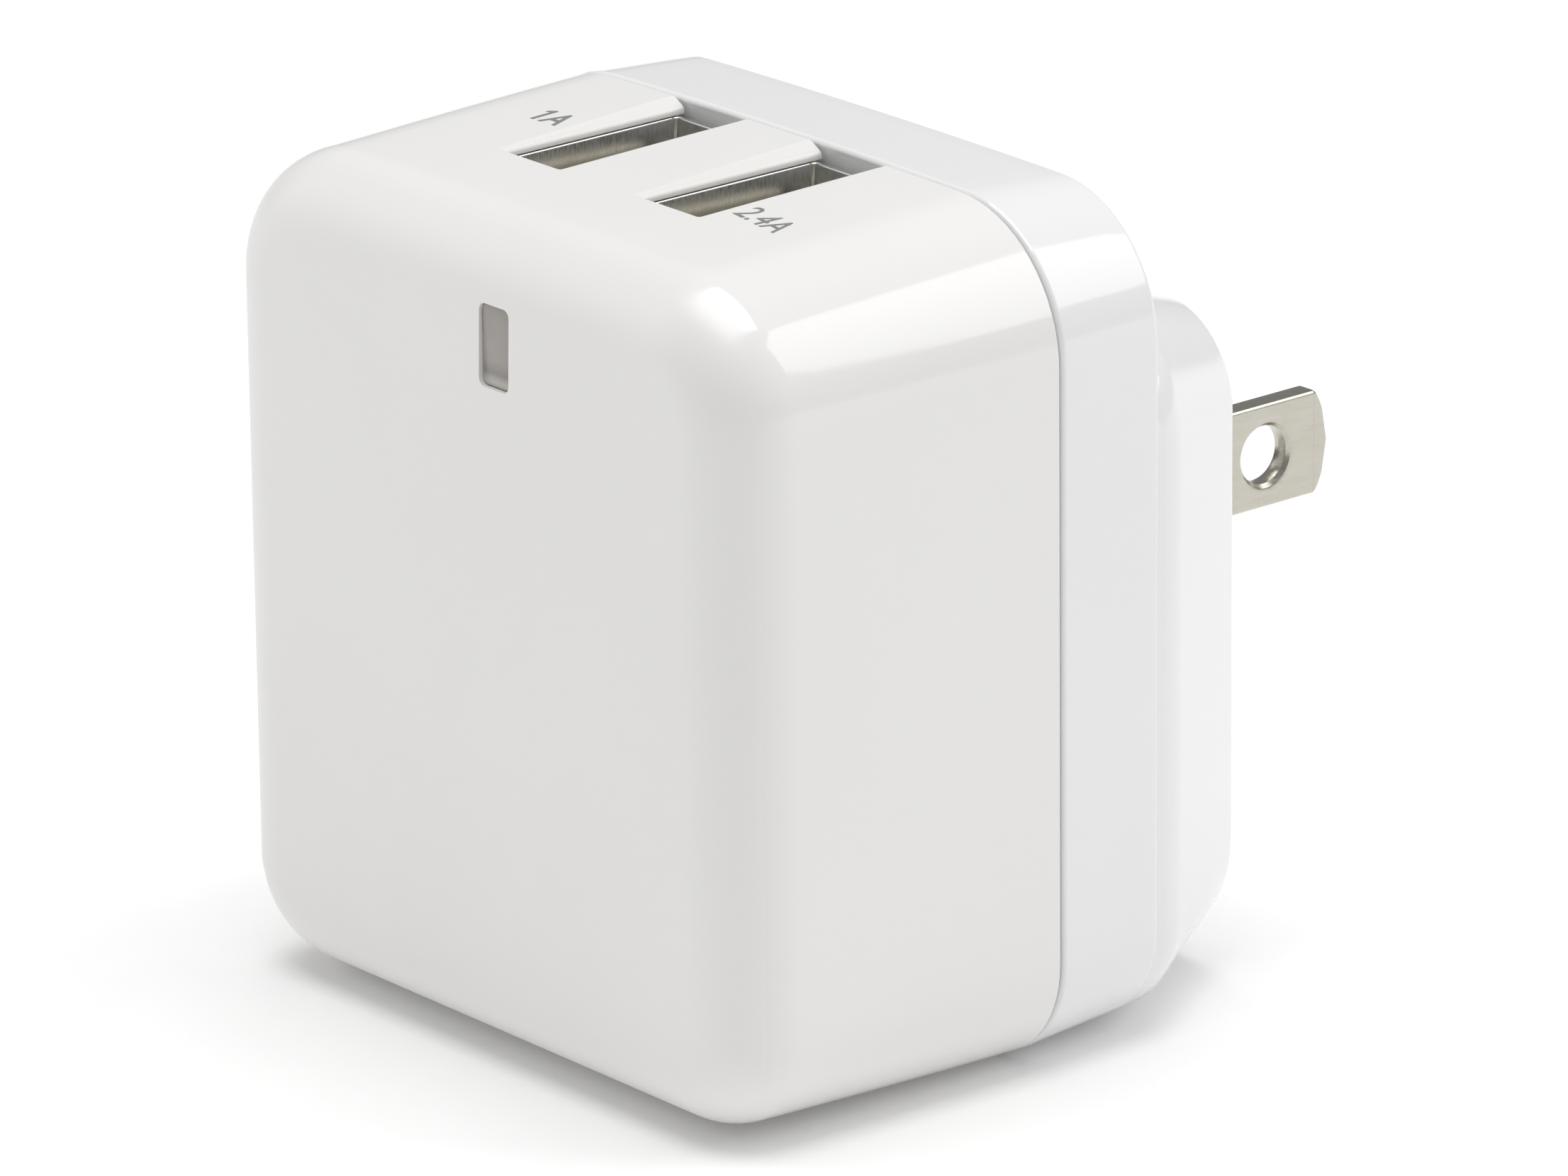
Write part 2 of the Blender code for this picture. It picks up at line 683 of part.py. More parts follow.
def build_usb_tongue(key, x, material):
    """Moulded base that fills the can's foot, with the contact tongue above it."""
    wall_x = x + PORT_MOUTH[0] / 2
    tongue_out = wall_x - TONGUE_WALL_GAP
    tongue_in = tongue_out - TONGUE_THICKNESS
    base_low = USB_BOARD_TOP + FIT
    base_high = base_low + PORT_BASE_HEIGHT
    bm = bmesh.new()
    half_y = PORT_MOUTH[1] / 2 - FIT
    add_box(bm, (tongue_in, CAN_Y - half_y, base_low), (wall_x - FIT, CAN_Y + half_y, base_high))
    body = add_object("usb_tongue_" + key, bm, material, smooth=False)
    bm = bmesh.new()
    add_box(
        bm,
        (tongue_in, CAN_Y - TONGUE_WIDTH / 2, base_high - 0.001),
        (tongue_out, CAN_Y + TONGUE_WIDTH / 2, CAN_TOP - TONGUE_RECESS),
    )
    top_edges = [e for e in bm.edges if all(v.co.z > CAN_TOP - TONGUE_RECESS - 1e-6 for v in e.verts)]
    bmesh.ops.bevel(bm, geom=top_edges, offset=0.0003, segments=1, affect="EDGES", profile=0.5)
    apply_boolean(body, cutter("usb_tongue_blade_" + key, bm), "UNION")


def build_usb_contacts(key, x, material):
    tongue_in = x + PORT_MOUTH[0] / 2 - TONGUE_WALL_GAP - TONGUE_THICKNESS
    near = tongue_in - 0.00012
    for number, offset in enumerate(CONTACT_OFFSETS, start=1):
        bm = bmesh.new()
        outline = (
            (near, USB_BOARD_TOP + FIT), (near, CAN_TOP - TONGUE_RECESS - 0.0012),
            (near - CONTACT_THICKNESS * 0.4, CAN_TOP - TONGUE_RECESS - 0.0009),
            (near - CONTACT_THICKNESS, CAN_TOP - TONGUE_RECESS - 0.0013),
            (near - CONTACT_THICKNESS - 0.0004, CAN_TOP - TONGUE_RECESS - 0.0032),
            (near - CONTACT_THICKNESS, CAN_TOP - TONGUE_RECESS - 0.0052),
            (near - CONTACT_THICKNESS, USB_BOARD_TOP + FIT),
        )
        y = CAN_Y + offset
        half = CONTACT_WIDTH / 2
        loft(bm, [[Vector((px, y + dy, pz)) for px, pz in outline] for dy in (-half, half)])
        add_object("usb_contact_%s_%d" % (key, number), bm, material, smooth=False)


# ---------------------------------------------------------------- indicator
def build_indicator(pipe_material, led_material):
    """Light pipe: a stem in the window and a leg down to the LED."""
    bm = bmesh.new()
    inner_face = FRONT_Y + FRONT_CROWN + WALL
    leg_front, leg_back = inner_face + FIT + 0.0002, inner_face + 0.0023
    led_top = USB_BOARD_TOP + 0.0010
    add_box(bm, (LED_X - 0.0022, leg_front, led_top + FIT), (LED_X + 0.0022, leg_back, LED_Z + 0.0026))
    pipe = add_object("light_pipe", bm, pipe_material, smooth=False)
    bm = bmesh.new()
    half_x = WINDOW_SIZE[0] / 2 - WINDOW_GAP
    half_z = WINDOW_SIZE[1] / 2 - WINDOW_GAP
    add_box(
        bm,
        (LED_X - half_x, FRONT_Y + 0.00045, LED_Z - half_z),
        (LED_X + half_x, leg_front + 0.0006, LED_Z + half_z),
    )
    apply_boolean(pipe, cutter("light_pipe_stem", bm), "UNION")
    box_object(
        "indicator_led",
        (LED_X - 0.0008, leg_front + 0.0004, USB_BOARD_TOP + 0.0001),
        (LED_X + 0.0008, leg_front + 0.0012, led_top),
        led_material,
    )


# ---------------------------------------------------------------- boards
def build_boards(material):
    bm = bmesh.new()
    add_box(
        bm,
        (-BOARD_HALF, MAIN_BOARD_FRONT, MAIN_BOARD_BOTTOM),
        (BOARD_HALF, MAIN_BOARD_BACK, MAIN_BOARD_TOP),
    )
    corners = [e for e in bm.edges if abs(e.verts[0].co.y - e.verts[1].co.y) > BOARD_THICKNESS / 2]
    bmesh.ops.bevel(
        bm, geom=corners, offset=BOARD_CORNER, segments=1, affect="EDGES", profile=0.5
    )
    add_object("main_board", bm, material, smooth=False)
    box_object(
        "usb_board",
        (-BOARD_HALF, FRONT_Y + 0.0032, USB_BOARD_Z),
        (BOARD_HALF, SEAM_Y + 0.0040, USB_BOARD_TOP),
        material,
    )


def board_spot(across, up):
    """Point on the main board's front: across -1 to 1, up 0 to 1."""
    height = MAIN_BOARD_TOP - MAIN_BOARD_BOTTOM
    return across * BOARD_HALF, MAIN_BOARD_BOTTOM + up * height


def build_transformer(core_material, bobbin_material, tape_material):
    cx, cz = board_spot(0.26, 0.49)
    half_x, half_z = 0.0095, 0.0024
    back = MAIN_BOARD_FRONT - 0.0026
    length = 0.0164
    front = back - length
    bar, leg = 0.0024, 0.0022
    centre_half = 0.0024
    middle = (back + front) / 2

    def e_core(name, bar_y, meet_y):
        toward = 1 if meet_y > bar_y else -1
        inner = bar_y + toward * bar
        bm = bmesh.new()
        outline = [
            (-half_x, bar_y), (half_x, bar_y), (half_x, meet_y), (half_x - leg, meet_y),
            (half_x - leg, inner), (centre_half, inner), (centre_half, meet_y),
            (-centre_half, meet_y), (-centre_half, inner), (-half_x + leg, inner),
            (-half_x + leg, meet_y), (-half_x, meet_y),
        ]
        loft(bm, [[Vector((cx + px, y, cz + dz)) for px, y in outline] for dz in (-half_z, half_z)])
        add_object(name, bm, core_material, smooth=False)

    e_core("transformer_core_rear", back, middle + 0.0001)
    e_core("transformer_core_front", front, middle - 0.0001)

    tube_in_x, tube_in_z = centre_half + FIT, half_z + FIT
    tube_out_x, tube_out_z = tube_in_x + 0.0007, tube_in_z + 0.0007
    flange_x, flange_z = half_x - leg - FIT, half_z + 0.0042
    low_y, high_y = front + bar + FIT, back - bar - FIT
    bm = bmesh.new()
    add_box(bm, (cx - tube_out_x, low_y, cz - tube_out_z), (cx + tube_out_x, high_y, cz + tube_out_z))
    bobbin = add_object("transformer_bobbin", bm, bobbin_material, smooth=False)
    flange = 0.0009
    for name, y0, y1 in (
        ("bobbin_flange_front", low_y, low_y + flange), ("bobbin_flange_rear", high_y - flange, high_y),
    ):
        bm = bmesh.new()
        add_box(bm, (cx - flange_x, y0, cz - flange_z), (cx + flange_x, y1, cz + flange_z))
        apply_boolean(bobbin, cutter(name, bm), "UNION")
    bm = bmesh.new()
    add_box(
        bm,
        (cx - tube_in_x, low_y - 0.001, cz - tube_in_z),
        (cx + tube_in_x, high_y + 0.001, cz + tube_in_z),
    )
    apply_boolean(bobbin, cutter("bobbin_bore", bm))

    wound_y = (low_y + flange + FIT, high_y - flange - FIT)
    bm = bmesh.new()
    outer_x, outer_z = flange_x - 0.0003, flange_z - 0.0005
    add_box(bm, (cx - outer_x, wound_y[0], cz - outer_z), (cx + outer_x, wound_y[1], cz + outer_z))
    winding_edges = [e for e in bm.edges if abs(e.verts[0].co.y - e.verts[1].co.y) > 0.001]
    bmesh.ops.bevel(bm, geom=winding_edges, offset=0.0018, segments=4, affect="EDGES", profile=0.5)
    winding = add_object("transformer_winding", bm, tape_material)
    bm = bmesh.new()
    gap = FIT
    add_box(
        bm,
        (cx - tube_out_x - gap, wound_y[0] - 0.001, cz - tube_out_z - gap),
        (cx + tube_out_x + gap, wound_y[1] + 0.001, cz + tube_out_z + gap),
    )
    apply_boolean(winding, cutter("winding_bore", bm))


def build_capacitor(name, across, up, radius, length, material):
    """Standing electrolytic can, with the rolled groove near its base."""
    x, z = board_spot(across, up)
    base = MAIN_BOARD_FRONT - FIT
    profile = (
        (base, radius * 0.9), (base - 0.0004, radius), (base - 0.0016, radius),
        (base - 0.0021, radius * 0.92), (base - 0.0026, radius),
        (base - length + 0.0004, radius), (base - length, radius * 0.92),
    )
    bm = bmesh.new()
    turned(bm, (x, 0, z), profile, "Y", 28)
    add_object(name, bm, material)


def build_fuse_resistor(material):
    x, z = board_spot(-0.40, 0.90)
    base = MAIN_BOARD_FRONT - FIT
    profile = (
        (base, 0.0003), (base - 0.0010, 0.0003), (base - 0.0011, 0.0012), (base - 0.0014, 0.0016),
        (base - 0.0026, 0.0017), (base - 0.0029, 0.0014), (base - 0.0080, 0.0014),
        (base - 0.0083, 0.0017), (base - 0.0095, 0.0016), (base - 0.0098, 0.0012),
    )
    bm = bmesh.new()
    turned(bm, (x, 0, z), profile, "Y", 20)
    add_object("fuse_resistor", bm, material)


def build_choke(core_material, wire_material):
    x, z = board_spot(-0.13, 0.87)
    base = MAIN_BOARD_FRONT - FIT
    flange, waist = 0.0031, 0.0015
    profile = (
        (base, flange), (base - 0.0012, flange), (base - 0.0013, waist),
        (base - 0.0061, waist), (base - 0.0062, flange), (base - 0.0074, flange),
    )
    bm = bmesh.new()
    turned(bm, (x, 0, z), profile, "Y", 24)
    add_object("choke_core", bm, core_material)
    bm = bmesh.new()
    near, far = base - 0.0016, base - 0.0058
    inner, outer = waist + FIT, flange - 0.0003
    rings = []
    for along, radius in ((near, inner), (near, outer), (far, outer), (far, inner)):
        ring = []
        for i in range(24):
            a = 2 * pi * i / 24
            ring.append(bm.verts.new((x + radius * sin(a), along, z + radius * cos(a))))
        rings.append(ring)
    for k, near_ring in enumerate(rings):
        far_ring = rings[(k + 1) % len(rings)]
        for i in range(24):
            j = (i + 1) % 24
            bm.faces.new((near_ring[i], near_ring[j], far_ring[j], far_ring[i]))
    add_object("choke_winding", bm, wire_material)


def on_main_board(name, across, up, size, material, bevel=0.0002):
    """Block-shaped component, size (x, height off the board, z)."""
    x, z = board_spot(across, up)
    back = MAIN_BOARD_FRONT - FIT
    half_x, half_z = size[0] / 2, size[2] / 2
    box_object(
        name, (x - half_x, back - size[1], z - half_z), (x + half_x, back, z + half_z), material, bevel
    )


def build_safety_capacitor(material):
    x, z = board_spot(0.88, 0.28)
    base = MAIN_BOARD_FRONT - 0.0018
    radius, half = 0.0036, 0.0012
    profile = ((-half, radius * 0.72), (-half * 0.5, radius), (half * 0.5, radius), (half, radius * 0.72))
    bm = bmesh.new()
    turned(bm, (x, base - radius, z), profile, "X", 24)
    add_object("safety_capacitor", bm, material)


def build_sheet_and_header(sheet_material, header_material):
    box_object(
        "insulation_sheet",
        (-BOARD_HALF + 0.0008, FRONT_Y + 0.0050, USB_BOARD_Z - 0.00065),
        (BOARD_HALF - 0.0008, MAIN_BOARD_FRONT - 0.0004, USB_BOARD_Z - 0.00035),
        sheet_material,
    )
    x = BOARD_HALF * 0.45
    box_object(
        "board_header",
        (x - 0.0050, MAIN_BOARD_FRONT - 0.0013, USB_BOARD_TOP + 0.0001),
        (x + 0.0050, MAIN_BOARD_FRONT + 0.0012, USB_BOARD_TOP + 0.0026),
        header_material,
        0.0002,
    )
    right = PORT_X["1a"] - CAN_SIZE[0] / 2 - CONTROLLER_TO_CAN
    width, length = CONTROLLER_SIZE
    front = CAN_Y - CAN_SIZE[1] / 2 - 0.0024
    box_object(
        "port_controller",
        (right - width, front, USB_BOARD_TOP + 0.0001),
        (right, front + length, USB_BOARD_TOP + 0.0016),
        header_material,
        0.0002,
    )


def build_all():
    clear_scene()
    shell_white = make_material("shell_white", (0.80, 0.80, 0.79), 0.38)
    cover_white = make_material("cover_white", (0.81, 0.80, 0.81), 0.22)
    nickel = make_material("nickel_plate", (0.62, 0.58, 0.52), 0.22, 1.0)
    nylon = make_material("white_nylon", (0.70, 0.70, 0.68), 0.45)
    steel = make_material("tinned_steel", (0.60, 0.60, 0.60), 0.28, 1.0)
    screw_zinc = make_material("zinc_screw", (0.55, 0.55, 0.53), 0.30, 1.0)
    spring_bronze = make_material("spring_bronze", (0.72, 0.50, 0.28), 0.30, 1.0)
    gold = make_material("contact_gold", (0.90, 0.68, 0.30), 0.22, 1.0)
    black = make_material("black_plastic", (0.03, 0.03, 0.03), 0.45)
    ivory = make_material("ivory_lcp", (0.62, 0.59, 0.50), 0.45)
    smoke = make_material("smoke_lens", (0.32, 0.30, 0.28), 0.25)
    led = make_material("led_resin", (0.85, 0.80, 0.55), 0.30)
    board = make_material("board_green", (0.04, 0.20, 0.09), 0.50)
    ferrite = make_material("ferrite", (0.06, 0.06, 0.065), 0.60)
    tape = make_material("yellow_tape", (0.75, 0.55, 0.08), 0.40)
    sleeve = make_material("capacitor_sleeve", (0.03, 0.04, 0.06), 0.40)
    resistor = make_material("resistor_green", (0.12, 0.25, 0.22), 0.50)
    copper = make_material("enamel_copper", (0.55, 0.22, 0.09), 0.35, 1.0)
    disc_blue = make_material("disc_blue", (0.05, 0.18, 0.45), 0.45)
    sheet = make_material("fish_paper", (0.55, 0.52, 0.42), 0.70)

    build_front_shell(shell_white)
    build_rear_cover(cover_white)
    build_blade("blade_left", -1, nickel)
    build_blade("blade_right", 1, nickel)
    build_blade_carrier(nylon)
    build_pivot_keeper(nylon)
    build_keeper_screws(screw_zinc)
    build_contact_springs(spring_bronze)
    for key, x in PORT_X.items():
        build_usb_can(key, x, steel)
        build_usb_tongue(key, x, ivory)
        build_usb_contacts(key, x, gold)
    build_indicator(smoke, led)
    build_boards(board)
    build_transformer(ferrite, black, tape)
    build_capacitor("bulk_capacitor_upper", -0.66, 0.56, 0.0046, 0.0165, sleeve)
    build_capacitor("bulk_capacitor_lower", -0.66, 0.20, 0.0046, 0.0165, sleeve)
    build_capacitor("output_capacitor_left", -0.16, 0.125, 0.0031, 0.0115, sleeve)
    build_capacitor("output_capacitor_right", 0.22, 0.125, 0.0031, 0.0115, sleeve)
    build_fuse_resistor(resistor)
    build_choke(ferrite, copper)
    on_main_board("bridge_rectifier", -0.74, 0.90, (0.0062, 0.0026, 0.0046), black)
    on_main_board("switching_controller", 0.20, 0.90, (0.0049, 0.0015, 0.0039), black)
    on_main_board("optocoupler", 0.55, 0.90, (0.0046, 0.0032, 0.0044), black)
    on_main_board("output_rectifier", 0.88, 0.62, (0.0026, 0.0011, 0.0065), black)
    build_safety_capacitor(disc_blue)
    build_sheet_and_header(sheet, black)


build_all()
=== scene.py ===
import bpy
import bmesh
from math import copysign, cos, pi, radians, sin, tan
from mathutils import Matrix, Vector


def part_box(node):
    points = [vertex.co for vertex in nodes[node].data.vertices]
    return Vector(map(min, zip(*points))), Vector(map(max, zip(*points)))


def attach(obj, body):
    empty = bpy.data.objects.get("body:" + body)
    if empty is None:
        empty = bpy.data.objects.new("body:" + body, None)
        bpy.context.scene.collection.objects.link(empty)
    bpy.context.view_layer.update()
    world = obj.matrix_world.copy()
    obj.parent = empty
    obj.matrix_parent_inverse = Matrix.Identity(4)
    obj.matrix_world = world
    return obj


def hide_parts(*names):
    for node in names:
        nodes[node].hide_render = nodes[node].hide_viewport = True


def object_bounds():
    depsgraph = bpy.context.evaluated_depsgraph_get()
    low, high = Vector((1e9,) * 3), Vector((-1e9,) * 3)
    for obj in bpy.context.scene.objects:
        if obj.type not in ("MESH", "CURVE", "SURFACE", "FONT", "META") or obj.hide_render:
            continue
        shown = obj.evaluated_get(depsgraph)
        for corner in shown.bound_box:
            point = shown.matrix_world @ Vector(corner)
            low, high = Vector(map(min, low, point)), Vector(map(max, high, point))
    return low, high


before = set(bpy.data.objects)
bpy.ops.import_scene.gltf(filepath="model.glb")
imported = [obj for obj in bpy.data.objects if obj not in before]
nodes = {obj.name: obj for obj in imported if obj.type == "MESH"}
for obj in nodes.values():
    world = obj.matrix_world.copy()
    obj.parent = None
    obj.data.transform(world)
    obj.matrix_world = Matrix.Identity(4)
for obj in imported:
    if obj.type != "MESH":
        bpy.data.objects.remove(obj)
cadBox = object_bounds()
mm = 0.001
print("frame loaded")

# a long lens from above, over the right shoulder of the front
view = {
    "target": Vector((0, -22.2, -4.06)) * mm,
    "azimuth": 50.01, "elevation": 18.99, "roll": -0.593,
    "distance": 622.7 * mm,
    "lens": 250.75, "sensor": 36.0,
    "offset": Vector((-59.02, -44.2)),      # where the target falls from the middle, at full width
    "fullWidth": 2212.0,
}


def cameraAxes(azimuth, elevation, roll):
    a, e, r = radians(azimuth), radians(elevation), radians(roll)
    back = Vector((sin(a) * cos(e), -cos(a) * cos(e), sin(e)))
    side = Vector((cos(a), sin(a), 0))
    up = back.cross(side)
    return side * cos(r) + up * sin(r), up * cos(r) - side * sin(r), back


def addCamera():
    side, up, back = cameraAxes(view["azimuth"], view["elevation"], view["roll"])
    perMetre = view["lens"] / view["sensor"] * view["fullWidth"] / view["distance"]
    place = view["target"] + back * view["distance"]
    place = place - side * view["offset"].x / perMetre - up * view["offset"].y / perMetre
    data = bpy.data.cameras.new("studioCamera")
    data.sensor_fit = "HORIZONTAL"
    data.sensor_width = view["sensor"]
    data.lens = view["lens"]
    data.clip_start = 0.01
    data.clip_end = 20
    camera = bpy.data.objects.new("studioCamera", data)
    camera.matrix_world = Matrix((
        (side.x, up.x, back.x, place.x),
        (side.y, up.y, back.y, place.y),
        (side.z, up.z, back.z, place.z),
        (0, 0, 0, 1)))
    bpy.context.collection.objects.link(camera)
    bpy.context.scene.camera = camera


addCamera()
print("camera placed")


def hexColour(code):
    # sRGB hex to the linear values that the sockets take
    channels = []
    for start in (0, 2, 4):
        value = int(code[start:start + 2], 16) / 255
        channels.append(value / 12.92 if value <= 0.04045 else ((value + 0.055) / 1.055) ** 2.4)
    return (*channels, 1.0)


def addNode(tree, kind, settings, links=None):
    node = tree.nodes.new(kind)
    for key, value in settings.items():
        if isinstance(key, str) and hasattr(node, key):
            setattr(node, key, value)
        else:
            node.inputs[key].default_value = value
    for key, source in (links or {}).items():
        tree.links.new(source, node.inputs[key])
    return node


def startMaterial(name, surface):
    material = bpy.data.materials.new(name)
    material.use_nodes = True
    tree = material.node_tree
    shader = tree.nodes["Principled BSDF"]
    for socket, value in surface.items():
        shader.inputs[socket].default_value = value
    place = addNode(tree, "ShaderNodeTexCoord", {})
    spot = addNode(tree, "ShaderNodeMapping", {}, {"Vector": place.outputs["Object"]})
    return material, tree, shader, spot, place


def surfaceOf(name, look):
    # colour drifts over millimetres, roughness and bump follow the grain the tool or the process left
    material, tree, shader, spot, place = startMaterial(name, look["surface"])
    if "stretch" in look:
        spot.inputs["Scale"].default_value = look["stretch"]
    cloud = addNode(tree, "ShaderNodeTexNoise", {"Scale": 1 / look["cloud"], "Detail": 3.0},
                    {"Vector": spot.outputs[0]})
    tint = addNode(tree, "ShaderNodeMix", {"data_type": "RGBA", 6: hexColour(look["hues"][0]),
                                           7: hexColour(look["hues"][1])}, {0: cloud.outputs[0]})
    colour = tint.outputs[2]
    grain = addNode(tree, "ShaderNodeTexNoise", {"Scale": 1 / look["grain"], "Detail": 2.0},
                    {"Vector": spot.outputs[0]})
    relief = grain.outputs[0]
    if "bands" in look:
        wave = addNode(tree, "ShaderNodeTexWave", {
            "bands_direction": look["bands"]["along"], "Scale": 0.3142 / look["bands"]["pitch"],
            "Distortion": look["bands"]["wander"], "Detail Scale": 2.0}, {"Vector": spot.outputs[0]})
        edge = addNode(tree, "ShaderNodeMapRange", {"From Min": look["bands"]["edge"],
                                                    "From Max": look["bands"]["edge"] + 0.2},
                       {"Value": wave.outputs["Fac"]})
        striped = addNode(tree, "ShaderNodeMix", {"data_type": "RGBA",
                                                  6: hexColour(look["bands"]["hue"])},
                          {0: edge.outputs[0], 7: colour})
        colour = striped.outputs[2]
        if look["bands"]["raised"]:
            relief = wave.outputs["Fac"]
    polish = addNode(tree, "ShaderNodeMapRange", {"From Min": 0.3, "From Max": 0.7,
                                                  "To Min": look["rough"][0], "To Max": look["rough"][1]},
                     {"Value": grain.outputs[0]})
    finishOf = polish.outputs[0]
    if "polished" in look:
        # the mould is satin on the front face only and polished behind it
        across = addNode(tree, "ShaderNodeSeparateXYZ", {}, {0: place.outputs["Object"]})
        behind = addNode(tree, "ShaderNodeMapRange", {"From Min": look["polished"]["from"],
                                                      "From Max": look["polished"]["to"]},
                         {"Value": across.outputs["Y"]})
        blend = addNode(tree, "ShaderNodeMix", {3: look["polished"]["rough"]},
                        {0: behind.outputs[0], 2: finishOf})
        finishOf = blend.outputs[0]
    bump = addNode(tree, "ShaderNodeBump", {"Strength": 1.0, "Distance": look["depth"]},
                   {"Height": relief})
    tree.links.new(colour, shader.inputs["Base Color"])
    tree.links.new(finishOf, shader.inputs["Roughness"])
    tree.links.new(bump.outputs[0], shader.inputs["Normal"])
    return material


